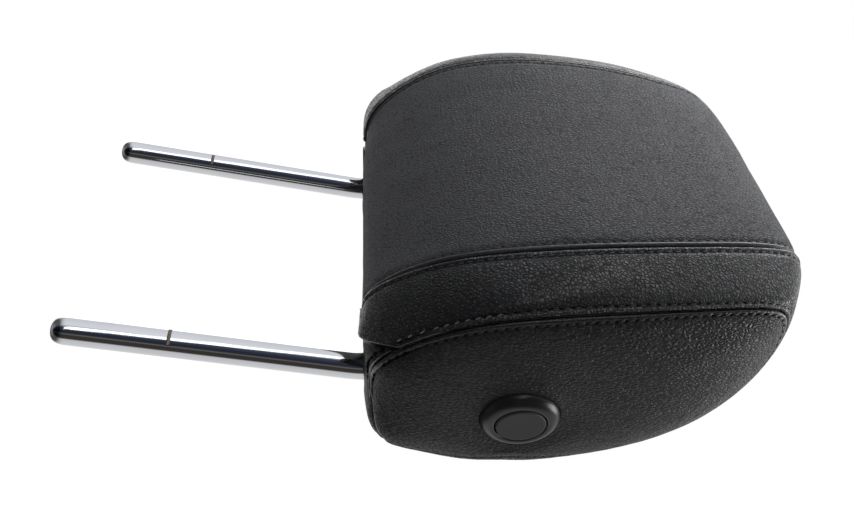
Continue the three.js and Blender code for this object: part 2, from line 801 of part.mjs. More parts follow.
function add(name, geometry, finish) {
  const mesh = new THREE.Mesh(geometry, new THREE.MeshStandardMaterial(colours[finish]));
  mesh.name = name;
  object.add(mesh);
}

add('post_frame', postFrame(), 'chrome');
add('brake_sleeve', brakeSleeve(), 'steel');
add('sleeve_pin', sleevePin(), 'steel');

const core = wholeCore();
const foam = foamPads();
add('core_front', frontCore(core), 'corePlastic');
add('core_rear', rearCore(core), 'corePlastic');
screwPlaces.forEach((place, i) => add(`core_screw_${i + 1}`, coreScrew(place), 'steel'));
add('bush_left', bush(-1), 'bushPlastic');
add('bush_right', bush(1), 'bushPlastic');
add('wrap_spring', wrapSpring(), 'steel');
add('lever_pin', leverPin(), 'steel');
add('foam_front', foam.front, 'foam');
add('foam_rear', foam.rear, 'foam');

const topSeam = topSeamAngle;
add('cover_centre', panel(hemAngle, topSeam, centreColumns), 'leather');
add('cover_rear', panel(topSeam, lowSeamAngle, centreColumns), 'leather');
add('cover_band_left', panel(hemAngle, lowSeamAngle, bandColumns(-1)), 'bandLeather');
add('cover_band_right', panel(hemAngle, lowSeamAngle, bandColumns(1)), 'bandLeather');
add('cover_side_left', sidePanel(-1), 'leather');
add('cover_side_right', cut(sidePanel(1), bezelRoom()), 'leather');
add('cover_bottom', cut(
  panel(lowSeamAngle, hemAngle + 360, bottomColumns), slotRoom(-1), slotRoom(1),
), 'leather');
add('slot_guide_left', slotGuide(-1), 'mattePlastic');
add('slot_guide_right', slotGuide(1), 'mattePlastic');
add('button_bezel', buttonBezel(), 'satinPlastic');
add('rod_guide', rodGuide(), 'bushPlastic');
add('return_spring', returnSpring(), 'steel');

add('push_button', pushButton(), 'mattePlastic');
add('push_rod', pushRod(), 'steel');
add('release_lever', releaseLever(), 'steel');

export default object;
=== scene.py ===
"""Car headrest: leather covers, seams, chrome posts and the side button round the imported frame."""
import math

import bmesh
import bpy
import numpy as np
from mathutils import Matrix, Vector


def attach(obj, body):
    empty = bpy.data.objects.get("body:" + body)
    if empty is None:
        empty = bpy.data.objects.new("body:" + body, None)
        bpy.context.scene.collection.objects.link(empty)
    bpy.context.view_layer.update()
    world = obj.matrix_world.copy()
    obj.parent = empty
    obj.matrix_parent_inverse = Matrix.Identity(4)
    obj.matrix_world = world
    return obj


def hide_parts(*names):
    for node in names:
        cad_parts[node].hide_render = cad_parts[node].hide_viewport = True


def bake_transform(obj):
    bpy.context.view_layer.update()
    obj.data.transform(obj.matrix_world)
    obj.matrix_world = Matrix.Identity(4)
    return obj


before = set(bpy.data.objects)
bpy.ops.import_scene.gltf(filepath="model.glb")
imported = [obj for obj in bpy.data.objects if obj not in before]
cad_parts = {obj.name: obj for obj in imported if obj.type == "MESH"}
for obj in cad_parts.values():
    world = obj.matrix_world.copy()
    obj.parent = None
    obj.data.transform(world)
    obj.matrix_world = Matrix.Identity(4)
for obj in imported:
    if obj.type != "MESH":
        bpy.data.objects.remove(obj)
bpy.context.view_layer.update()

MM = 0.001
# The distance of points that lie by no seam, and what a plain seam adds to the distance from its stitches
FAR = 99.0
NO_STITCHES = 90.0
rng = np.random.default_rng(11)

# Form of the head, in mm, as the frame has it
OUTLINE = np.array([
    [-92, 60], [-99.5, 113], [-101, 159], [-94.5, 180], [-39, 180.5],
    [2, 145.5], [22, 100], [35.5, 62.5], [28, 30], [14, 1],
    [1, -1], [-28, -5], [-44, -12], [-76, 14],
], float)
HEAD_HALF_WIDTH = 113.0
POLE = np.array([-36.0, 72.0])
ROUND_FRONT, ROUND_TOP, ROUND_REAR, ROUND_BOTTOM = 5.3, 3.8, 3.7, 8.0
CENTRE_SEAM = [65, 79, 82, 77.5, 64]
SIDE_SEAM = [101, 106.5, 107.5, 107.5, 106.5, 102.5, 94.5]
HEM_ANGLE, TOP_SEAM_ANGLE, LOW_SEAM_ANGLE = -70.0, 128.0, 236.0
# The hem climbs towards the side seam, and the side seam dips in under the head
HEM_RISE, HEM_RISE_FROM, HEM_RISE_TO, HEM_SPREAD = 24.5, 80.0, 105.0, 45.0
DIP_ANGLE, DIP_SPREAD, DIP_DEPTH = 275.0, 16.0, 6.0
STITCHES_END_ANGLE = 270.5
SEAM_LINE_FROM, SEAM_LINE_TO = -45.0, -5.0
COVER_THICKNESS = 2.0

# Seams: distances from the seam line at which the cover has a column of points
EDGE_STEPS = np.array([0.15, 0.35, 0.65, 1.0, 1.4, 1.9, 2.4, 3.0, 3.6, 4.4, 5.5, 7.0, 9.0])
STITCH_OFFSET = 3.0
STITCH_PITCH = 4.0
STITCH_COLUMN = int(np.argmin(abs(EDGE_STEPS - STITCH_OFFSET)))
ROW_STEP = 1.0
ROW_MULTIPLE = 8

# Posts
POST_HALF_SPACING = 70.0
BAR_RADIUS = 6.0
TIP_Z = -133.0
NOTCH_Z = -85.0
NOTCH_HALF_WIDTH, NOTCH_DEPTH = 0.6, 2.2
AXIS_Y, AXIS_Z = -24.0, 46.0
BEND_START_Z, BEND_RADIUS, CORNER_RADIUS = -8.0, 60.0, 20.0

# Button, and how deep and how far round it the cover meets its ring
BUTTON_PLACE = np.array([112.5, -25.0, 59.0])
BUTTON_LEAN = math.radians(7.7)
BEZEL_RADIUS = 16.4
BUTTON_RADIUS = 10.3
BUTTON_TOP = 4.2
BUTTON_UNDER = 1.7
ROD_ROOM, BOSS_RADIUS = 2.55, 4.5
RING_SEAT, RING_REACH = -0.35, 6.5
# The return spring behind the button: its ends are heights on the button's axis
SPRING_RADIUS = 6.9
SPRING_WIRE = 0.5
SPRING_TURNS = 4
SPRING_ENDS = (-22.9, 0.9)

# Slots in the underside
SLOT_Y, SLOT_Z, SLOT_LEAN = -7.5, -1.3, math.radians(11.5)
SLOT_HALF_STRAIGHT, SLOT_HALF_WIDTH = 7.5, 7.0
SLOT_WALL, SLOT_FLANGE, SLOT_FLANGE_THICKNESS, SLOT_DEPTH = 1.8, 4.5, 0.4, 10.0

# Camera, in metres
CAMERA_PLACE = (0.3423, -0.2778, -0.0532)
CAMERA_FORWARD = (-0.7765, 0.6012, 0.1886)
CAMERA_RIGHT = (0.0582, -0.2295, 0.9716)
CAMERA_LENS = 36.67


# Form

def smooth_weights(f):
    return np.array([
        (1 - f) ** 3 / 6,
        (3 * f ** 3 - 6 * f ** 2 + 4) / 6,
        (-3 * f ** 3 + 3 * f ** 2 + 3 * f + 1) / 6,
        f ** 3 / 6,
    ])


def outline_at(angle):
    """(y, z) of the side outline at angles in degrees."""
    count = len(OUTLINE)
    place = (np.asarray(angle, float) / 360 % 1) * count
    first = np.floor(place).astype(int)
    weights = smooth_weights(place - first)
    return sum(weights[k][..., None] * OUTLINE[(first + k - 1) % count] for k in range(4))


def seam_half_width(seam, angle):
    last = len(seam) - 1
    run = np.array([2 * seam[0] - seam[1], *seam, 2 * seam[last] - seam[last - 1]], float)
    place = (np.sin(np.radians(angle)) + 1) / 2 * last
    first = np.minimum(np.floor(place).astype(int), last - 1)
    weights = smooth_weights(place - first)
    return sum(weights[k] * run[first + k] for k in range(4))


def side_seam_at(angle):
    away = (np.asarray(angle, float) - DIP_ANGLE + 180) % 360 - 180
    return seam_half_width(SIDE_SEAM, angle) - DIP_DEPTH * np.exp(-(away / DIP_SPREAD) ** 2)


def roundness_at(angle):
    c, s = np.cos(np.radians(angle)), np.sin(np.radians(angle))
    depth = np.where(c > 0, ROUND_FRONT, ROUND_REAR) * c * c
    height = np.where(s > 0, ROUND_TOP, ROUND_BOTTOM) * s * s
    return depth + height


def section_at(angle):
    """Cross-section of the head at one angle: arc length, x and share from the middle to the pole."""
    power = float(roundness_at(angle))
    radius = float(np.linalg.norm(outline_at(angle) - POLE))
    knee = 0.5 ** (1 / power)
    x_run = np.linspace(0, knee, 500)
    share_run = np.linspace(knee, 0, 500)[1:]
    x = np.concatenate([x_run, (1 - share_run ** power) ** (1 / power)]) * HEAD_HALF_WIDTH
    share = np.concatenate([(1 - x_run ** power) ** (1 / power), share_run])
    steps = np.hypot(np.diff(x), np.diff(share) * radius)
    return np.concatenate([[0], np.cumsum(steps)]), x, share


TABLE_ANGLES = np.linspace(HEM_ANGLE, HEM_ANGLE + 400, 8001)
TABLE_POINTS = outline_at(TABLE_ANGLES)
TABLE_LENGTH = np.concatenate([[0], np.cumsum(np.linalg.norm(np.diff(TABLE_POINTS, axis=0), axis=1))])
TABLE_TURN = np.unwrap(np.arctan2(TABLE_POINTS[:, 1] - POLE[1], TABLE_POINTS[:, 0] - POLE[0]))


def side_surface(y, z):
    """x of the head's side over a point of the side view."""
    turn = np.arctan2(z - POLE[1], y - POLE[0])
    order = np.argsort(TABLE_TURN)
    low = TABLE_TURN[order[0]]
    turn = low + (turn - low) % (2 * math.pi)
    angle = np.interp(turn, TABLE_TURN[order], TABLE_ANGLES[order])
    radius = np.linalg.norm(outline_at(angle) - POLE, axis=-1)
    share = np.clip(np.hypot(y - POLE[0], z - POLE[1]) / radius, 0, 1)
    power = roundness_at(angle)
    return HEAD_HALF_WIDTH * (1 - share ** power) ** (1 / power)


def section_rows(start, end):
    """Angles of the rows from one cross seam to the next, close together at both ends."""
    from_length = np.interp(start, TABLE_ANGLES, TABLE_LENGTH)
    to_length = np.interp(end, TABLE_ANGLES, TABLE_LENGTH)
    margin = EDGE_STEPS[-1]
    inner = to_length - from_length - 2 * margin
    count = round(inner / ROW_STEP / ROW_MULTIPLE) * ROW_MULTIPLE - 2 * len(EDGE_STEPS) % ROW_MULTIPLE
    middle = from_length + margin + np.linspace(0, inner, count + 2)[1:-1]
    lengths = np.concatenate([from_length + EDGE_STEPS, middle, to_length - EDGE_STEPS[::-1]])
    return np.interp(lengths, TABLE_LENGTH, TABLE_ANGLES)


FRONT_ROWS = section_rows(HEM_ANGLE, TOP_SEAM_ANGLE)
REAR_ROWS = section_rows(TOP_SEAM_ANGLE, LOW_SEAM_ANGLE)
UNDER_ROWS = section_rows(LOW_SEAM_ANGLE, HEM_ANGLE + 360)
ROWS = np.concatenate([FRONT_ROWS, REAR_ROWS, UNDER_ROWS])
FRONT = slice(0, len(FRONT_ROWS))
REAR = slice(len(FRONT_ROWS), len(FRONT_ROWS) + len(REAR_ROWS))
UNDER = slice(len(FRONT_ROWS) + len(REAR_ROWS), len(ROWS))
CENTRE_EDGE = seam_half_width(CENTRE_SEAM, ROWS)
SIDE_EDGE = side_seam_at(ROWS)


def head_columns():
    """Points of the right half of the head on every row, and the column numbers of its two seams."""
    centre_count, band_count = 34, 7
    xs, shares = [], []
    for i, angle in enumerate(ROWS):
        length, x, share = section_at(angle)
        at_centre = np.interp(CENTRE_EDGE[i], x, length)
        at_side = np.interp(SIDE_EDGE[i], x, length)
        margin = EDGE_STEPS[-1]
        places = np.concatenate([
            np.linspace(0, at_centre - margin, centre_count)[:-1], at_centre - EDGE_STEPS[::-1],
            at_centre + EDGE_STEPS,
            np.linspace(at_centre + margin, at_side - margin, band_count)[1:-1],
            at_side - EDGE_STEPS[::-1], at_side + EDGE_STEPS,
        ])
        xs.append(np.interp(places, length, x))
        shares.append(np.interp(places, length, share))
    edge = len(EDGE_STEPS)
    centre_end = centre_count - 1 + edge
    band_end = centre_end + 2 * edge + band_count - 2
    return np.array(xs), np.array(shares), centre_end, band_end


def smoothstep(value):
    value = np.clip(value, 0, 1)
    return value * value * (3 - 2 * value)


def form_points(xs, shares, angles):
    direction = outline_at(angles) - POLE
    return np.dstack([xs, POLE[0] + direction[..., 0] * shares, POLE[1] + direction[..., 1] * shares])


def climb_with_hem(xs, shares):
    """Moves the rows next to the hem so that they follow it up towards the side seam."""
    rise = HEM_RISE * smoothstep((xs - HEM_RISE_FROM) / (HEM_RISE_TO - HEM_RISE_FROM))
    weight = np.zeros(len(ROWS))
    weight[FRONT] = 1 - smoothstep((FRONT_ROWS - HEM_ANGLE) / HEM_SPREAD)
    weight[UNDER] = smoothstep((UNDER_ROWS - HEM_ANGLE - 360 + HEM_SPREAD) / HEM_SPREAD)
    angles = ROWS[:, None] + rise * weight[:, None]
    rows = np.concatenate([ROWS, FRONT_ROWS + 360])

    def moved(values):
        values = np.concatenate([values, values[FRONT]])
        return np.column_stack([np.interp(angles[:, j], rows, values[:, j]) for j in range(values.shape[1])])
    return moved(xs), moved(shares), angles


def unit(v):
    return v / np.maximum(np.linalg.norm(v, axis=-1, keepdims=True), 1e-9)


def grid_normals(points, ring=True):
    """Outward normals of a grid whose rows run round the head and whose columns run to +X."""
    if ring:
        around = np.roll(points, -1, 0) - np.roll(points, 1, 0)
    else:
        around = np.gradient(points, axis=0)
    across = np.gradient(points, axis=1)
    return unit(np.cross(across, around))


# Relief of the covers

RIPPLES = [(rng.uniform(0.25, 0.9), rng.uniform(0, 6.28), rng.uniform(0.4, 1)) for _ in range(7)]
SWELLS = [(unit(rng.normal(size=3)) * rng.uniform(0.05, 0.16), rng.uniform(0, 6.28)) for _ in range(9)]

# Height of the cover over its plain form, by distance from the seam line
LIP = np.array([-1.35, -0.6, -0.08, 0.22, 0.36, 0.3, 0.04, -0.42, -0.2, 0.04, 0.16, 0.18, 0.12])
PLAIN_LIP = np.array([-1.75, -1.3, -0.85, -0.55, -0.36, -0.22, -0.12, -0.03, 0.03, 0.06, 0.08, 0.08, 0.05])
HEM_LIP = np.array([-1.2, -0.3, 0.35, 0.75, 0.95, 1.0, 0.98, 0.9, 0.78, 0.6, 0.4, 0.2, 0.08])
UNDER_HEM = np.array([-1.85, -1.8, -1.7, -1.55, -1.4, -1.2, -1.0, -0.8, -0.62, -0.42, -0.25, -0.12, -0.04])


def lip_height(distance, lip):
    return np.interp(distance, [*EDGE_STEPS, 14.0], [*lip, 0.0])


def ripple(length, seed=0):
    """A gentle unevenness along a seam, between -1 and 1."""
    total = sum(a * np.sin(w * length + p + 1.7 * seed) for w, p, a in RIPPLES)
    return total / sum(a for _, _, a in RIPPLES)


def swell(points):
    """A slow unevenness of the padding, in mm."""
    return 0.16 * sum(np.sin(points @ w + p) for w, p in SWELLS) / 3


def pucker(distance, length, seed=0):
    """Soft hollows between the threads and folds that run out from them."""
    holes = 0.5 + 0.5 * np.cos(2 * np.pi * length / STITCH_PITCH)
    near = np.exp(-((distance - STITCH_OFFSET) / 1.1) ** 2)
    folds = ripple(length, seed) * np.exp(-np.abs(distance - 4.5) / 3.5)
    return -0.16 * holes * near + 0.16 * folds


# Meshes

def add_object(name, data):
    added = bpy.data.objects.new(name, data)
    bpy.context.scene.collection.objects.link(added)
    return added


def mesh_piece(name, points, faces, sharp=None, attributes=None):
    """A closed mesh object at the origin with its faces outward, from points in mm and its faces."""
    mesh = bpy.data.meshes.new(name)
    mesh.from_pydata((np.asarray(points, float) * MM).tolist(), [], faces)
    mesh.validate()
    for key, values in (attributes or {}).items():
        layer = mesh.attributes.new(key, "FLOAT", "POINT")
        layer.data.foreach_set("value", np.asarray(values, np.float32))
    piece = add_object(name, mesh)
    face_outwards(piece)
    smooth(piece, sharp)
    return piece


def smooth(piece, sharp=None):
    piece.data.shade_smooth()
    if sharp is not None:
        piece.data.set_sharp_from_angle(angle=math.radians(sharp))


def slab_faces(rows, columns):
    """Faces of a closed slab between an outer and an inner grid, both open."""
    def outer(i, j):
        return i * columns + j

    def inner(i, j):
        return rows * columns + i * columns + j

    faces = []
    for i in range(rows - 1):
        for j in range(columns - 1):
            faces.append((outer(i, j), outer(i, j + 1), outer(i + 1, j + 1), outer(i + 1, j)))
            faces.append((inner(i, j), inner(i + 1, j), inner(i + 1, j + 1), inner(i, j + 1)))
        faces.append((outer(i, 0), outer(i + 1, 0), inner(i + 1, 0), inner(i, 0)))
        end = columns - 1
        faces.append((outer(i + 1, end), outer(i, end), inner(i, end), inner(i + 1, end)))
    for j in range(columns - 1):
        faces.append((outer(0, j + 1), outer(0, j), inner(0, j), inner(0, j + 1)))
        end = rows - 1
        faces.append((outer(end, j), outer(end, j + 1), inner(end, j + 1), inner(end, j)))
    return faces


def face_outwards(piece):
    """Turns the faces of a closed mesh outwards."""
    build = bmesh.new()
    build.from_mesh(piece.data)
    bmesh.ops.recalc_face_normals(build, faces=build.faces)
    if build.calc_volume(signed=True) < 0:
        bmesh.ops.reverse_faces(build, faces=build.faces)
    build.to_mesh(piece.data)
    build.free()


def ring_angles(sides):
    return np.linspace(0, 2 * math.pi, sides, endpoint=False)


def ring_faces(rings, closed=False):
    """Faces between successive rings of point numbers. A ring that repeats one number is a tip."""
    pairs = list(zip(rings, rings[1:]))
    if closed:
        pairs.append((rings[-1], rings[0]))
    faces = []
    for this, other in pairs:
        for i in range(len(this)):
            j = (i + 1) % len(this)
            corners = [this[i], this[j], other[j], other[i]]
            kept = [c for n, c in enumerate(corners) if c not in corners[:n]]
            if len(kept) > 2:
                faces.append(kept)
    return faces


def cut_out(piece, *tools):
    """Cuts closed tools out of a piece."""
    for tool in tools:
        cutter = piece.modifiers.new("cut", "BOOLEAN")
        cutter.operation = "DIFFERENCE"
        cutter.solver = "EXACT"
        cutter.object = tool
    graph = bpy.context.evaluated_depsgraph_get()
    mesh = bpy.data.meshes.new_from_object(piece.evaluated_get(graph))
    piece.modifiers.clear()
    piece.data = mesh
    for tool in tools:
        bpy.data.objects.remove(tool)


def turned(name, profile, place, sides=96, sharp=None):
    """A turned piece from a closed profile of (radius, height) about the local Z of its place."""
    points, index = [], []
    for radius, height in profile:
        if radius < 1e-6:
            index.append([len(points)] * sides)
            points.append((0, 0, height))
        else:
            index.append(list(range(len(points), len(points) + sides)))
            points += [(radius * math.cos(a), radius * math.sin(a), height) for a in ring_angles(sides)]
    return mesh_piece(name, [place @ Vector(p) for p in points], ring_faces(index, closed=True), sharp)


def button_place():
    """Local +Z is the button's outward direction, in mm."""
    turn = Matrix.Rotation(BUTTON_LEAN, 4, "Z") @ Matrix.Rotation(math.radians(90), 4, "Y")
    return Matrix.Translation(Vector(BUTTON_PLACE)) @ turn


def rounded(profile, levels=2):
    """A turned profile with its corners softened."""
    points = np.array(profile, float)
    for _ in range(levels):
        follow = np.roll(points, -1, 0)
        points = np.stack([0.75 * points + 0.25 * follow, 0.25 * points + 0.75 * follow], 1).reshape(-1, 2)
    return points.tolist()


# Covers

PLAIN_XS, PLAIN_SHARES, CENTRE_END, BAND_END = head_columns()
COLUMN_COUNT = PLAIN_XS.shape[1]
MIRROR = np.array([-1.0, 1.0, 1.0])
SIDE_POINTS = form_points(PLAIN_XS, PLAIN_SHARES, np.broadcast_to(ROWS[:, None], PLAIN_XS.shape))
HALF_XS, HALF_SHARES, HALF_ANGLES = climb_with_hem(PLAIN_XS, PLAIN_SHARES)
HALF_POINTS = form_points(HALF_XS, HALF_SHARES, HALF_ANGLES)


def whole_normals(points):
    return grid_normals(np.concatenate([points[:, 1:2] * MIRROR, points], 1))[:, 1:]


SIDE_NORMALS = whole_normals(SIDE_POINTS)
HALF_NORMALS = whole_normals(HALF_POINTS)


def seam_length(points, column):
    """Arc length along a column, row by row."""
    steps = np.linalg.norm(np.diff(points[:, column], axis=0), axis=1)
    return np.concatenate([[0], np.cumsum(steps)])


CENTRE_RUN = seam_length(HALF_POINTS, CENTRE_END)
BAND_RUN = seam_length(HALF_POINTS, BAND_END - 1)
SIDE_RUN = seam_length(SIDE_POINTS, BAND_END)


def across_distance(points, columns, seam_column):
    """Distance from the seam that lies between seam_column - 1 and seam_column."""
    steps = np.linalg.norm(np.diff(points, axis=1), axis=2)
    run = np.concatenate([np.zeros((len(ROWS), 1)), np.cumsum(steps, 1)], 1)
    middle = (run[:, seam_column - 1] + run[:, seam_column]) / 2
    return np.abs(run[:, columns] - middle[:, None])


def along_distance(rows, columns, at_angle):
    """Distance round the head from a cross seam, or from the hem where it climbs."""
    angles = HALF_ANGLES[rows, columns]
    first, last = abs(angles[0] - at_angle).mean(), abs(angles[-1] - at_angle).mean()
    edge_angles = angles[0] if first < last else angles[-1]
    length = np.interp(angles, TABLE_ANGLES, TABLE_LENGTH)
    edge = np.interp(edge_angles, TABLE_ANGLES, TABLE_LENGTH)
    return np.abs(length - edge) * HALF_SHARES[rows, columns] + EDGE_STEPS[0]


def mixed_lip(distance, weight):
    """A stitched lip that turns into a plain one where the weight goes to 1."""
    return lip_height(distance, LIP) * (1 - weight) + lip_height(distance, PLAIN_LIP) * weight


def dressed(rows, columns, seams, ends, bulge):
    """Outer and inner grid of a panel on the right half, and its values for the leather's shader."""
    points = HALF_POINTS[rows, columns]
    normals = HALF_NORMALS[rows, columns]
    height = np.zeros(points.shape[:2])
    closeness = np.full(points.shape[:2], FAR)
    stitch_distance = np.full(points.shape[:2], FAR)
    stitch_run = np.zeros(points.shape[:2])
    for seam_column, plain_weight, run, seed in seams:
        distance = across_distance(HALF_POINTS, columns, seam_column)[rows]
        weight = plain_weight[rows, None]
        lift = mixed_lip(distance, weight)
        height = np.where(distance < closeness, lift, np.minimum(height, lift + 0.3))
        closeness = np.minimum(closeness, distance)
        nearer = distance < stitch_distance
        stitch_run = np.where(nearer, run[rows, None], stitch_run)
        stitch_distance = np.where(nearer, distance + NO_STITCHES * weight, stitch_distance)
        height = height + pucker(distance, run[rows, None], seed) * (distance < 14) * (1 - weight)
    for angle, lip in ends:
        distance = along_distance(rows, columns, angle)
        lift = lip_height(distance, lip)
        if lip is UNDER_HEM:
            lift = lift * (0.4 + 0.6 * smoothstep(closeness / 9))
        share = np.clip(1 - distance / 3, 0, 1)
        height = np.where(distance < closeness, lift + (height * (1 - share)), height)
        closeness = np.minimum(closeness, distance)
    height = height + swell(points) * np.clip(closeness / 8, 0, 1)
    near_hem = 1 - smoothstep((HALF_ANGLES[rows, columns] - HEM_ANGLE - 5) / HEM_SPREAD)
    if bulge > 0:
        x = points[..., 0]
        near_hem = near_hem * (smoothstep((x - 79) / 14) + smoothstep((x - 90) / 14))
    height = height + bulge * near_hem
    # Distance from the edges that get the painted highlight line in the leather's shader: the hem, and the
    # low part of the side seam
    hem_distance = np.full(points.shape[:2], FAR)
    if ends[0][1] is HEM_LIP:
        hem_distance = along_distance(rows, columns, HEM_ANGLE)
    if seams[-1][3] == 2:
        low_part = 1 - smoothstep((ROWS[rows, None] - SEAM_LINE_FROM) / (SEAM_LINE_TO - SEAM_LINE_FROM))
        side_distance = across_distance(HALF_POINTS, columns, seams[-1][0])[rows]
        hem_distance = np.minimum(hem_distance, side_distance + 9 * (1 - low_part))
    values = {
        "seam_distance": closeness, "stitch_distance": stitch_distance, "stitch_run": stitch_run,
        "edge_distance": hem_distance,
    }
    return points + normals * height[..., None], points - normals * COVER_THICKNESS, values


# Local fullness of the padding on the finished head: place, reach and height, in mm
FULLNESS = [
    ((-100, -58, 8), 24, -2.0),
    ((-88, -94, 144), 20, -0.9),
    ((-99, -84, 60), 18, 0.7),
    ((-72, -33, -8), 13, -1.3),
    ((-56, -34, -7), 12, -0.9),
    ((-35, 3, -1), 20, -1.3),
    ((4, 3, -1), 20, -0.6),
    ((52, 4, -1), 9, -1.2),
    ((86, -33, -8), 9, 1.6),
    ((103, 5, 8), 12, 1.5),
    ((110, 8, 48), 14, 0.7),
    ((84, -84, 167), 12, -0.8),
]


def fullness(points):
    """How far the padding stands out at the places of FULLNESS."""
    height = np.zeros(points.shape[:-1])
    for place, reach, lift in FULLNESS:
        away = np.linalg.norm(points - np.array(place, float), axis=-1)
        height = height + lift * np.exp(-(away / reach) ** 2)
    return height


def flatten_top(points):
    """The padding is flatter along the top between the two centre seams."""
    spread = np.where(points[..., 0] > 33, 38, 58)
    across = np.exp(-((points[..., 0] - 33) / spread) ** 2)
    return -2.05 * across * smoothstep((points[..., 2] - 140) / 34)


def both_halves(right, from_middle):
    """The whole width from its right half."""
    left = right[:, ::-1] * (MIRROR if right.ndim == 3 else 1)
    return np.concatenate([left[:, :-1] if from_middle else left, right], 1)


def panel(name, rows, columns, seams, ends, sides, bulge=0.0):
    outer, inner, values = dressed(rows, columns, seams, ends, bulge)
    if sides == "both":
        outer, inner = both_halves(outer, True), both_halves(inner, True)
        values = {key: both_halves(value, True) for key, value in values.items()}
    elif sides == "left":
        outer, inner = outer[:, ::-1] * MIRROR, inner[:, ::-1] * MIRROR
        values = {key: value[:, ::-1] for key, value in values.items()}
    lift = fullness(outer)
    if sides == "both":
        lift = lift + flatten_top(outer)
    outward = grid_normals(inner, False)
    outer = outer + outward * lift[..., None]
    inner = inner + outward * np.minimum(lift, 0)[..., None]
    faces = slab_faces(*outer.shape[:2])
    points = np.concatenate([outer.reshape(-1, 3), inner.reshape(-1, 3)])
    unseen = np.full(inner.shape[0] * inner.shape[1], FAR)
    values = {key: np.concatenate([value.ravel(), unseen]) for key, value in values.items()}
    return mesh_piece(name, points, faces, attributes=values), outer


CENTRE_COLUMNS = slice(0, CENTRE_END)
BAND_COLUMNS = slice(CENTRE_END, BAND_END)
UNDER_COLUMNS = slice(0, BAND_END)


def ring_steps(count, start, levels):
    """Every how many points are kept on each ring: all up to the start, then half of them, levels times."""
    return [2 ** min(max(j - start + 1, 0), levels) for j in range(count)]


def plain_weight(angles):
    """Where the seam of the underside is plain: 0 along the stitched part, 1 along the rest."""
    begun = smoothstep((angles - LOW_SEAM_ANGLE) / 6)
    ended = smoothstep((angles - STITCHES_END_ANGLE + 6) / 6)
    return begun * (1 - ended)


UNDER_WEIGHT = plain_weight(ROWS)
STITCHED = np.zeros(len(ROWS))
CLIMBED = HALF_ANGLES[:, BAND_END - 1]
CLIMBED_WEIGHT = plain_weight(CLIMBED)


def side_normals(y, z):
    """Outward normals of the head's side over points of the side view."""
    nudge = 0.2
    slope_y = (side_surface(y + nudge, z) - side_surface(y - nudge, z)) / (2 * nudge)
    slope_z = (side_surface(y, z + nudge) - side_surface(y, z - nudge)) / (2 * nudge)
    return unit(np.column_stack([np.ones(len(y)), -slope_y, -slope_z]))


def follow_ring(points, outward):
    """How far the cover moves so that it meets the ring of the button all the way round."""
    axis = np.array([math.cos(BUTTON_LEAN), math.sin(BUTTON_LEAN), 0.0])
    from_place = points - BUTTON_PLACE
    height = from_place @ axis
    radius = np.linalg.norm(from_place - height[:, None] * axis, axis=1)
    share = np.exp(-(np.maximum(radius - BEZEL_RADIUS, 0) / RING_REACH) ** 2)
    return (RING_SEAT - height) * share / np.maximum(outward @ axis, 0.5)


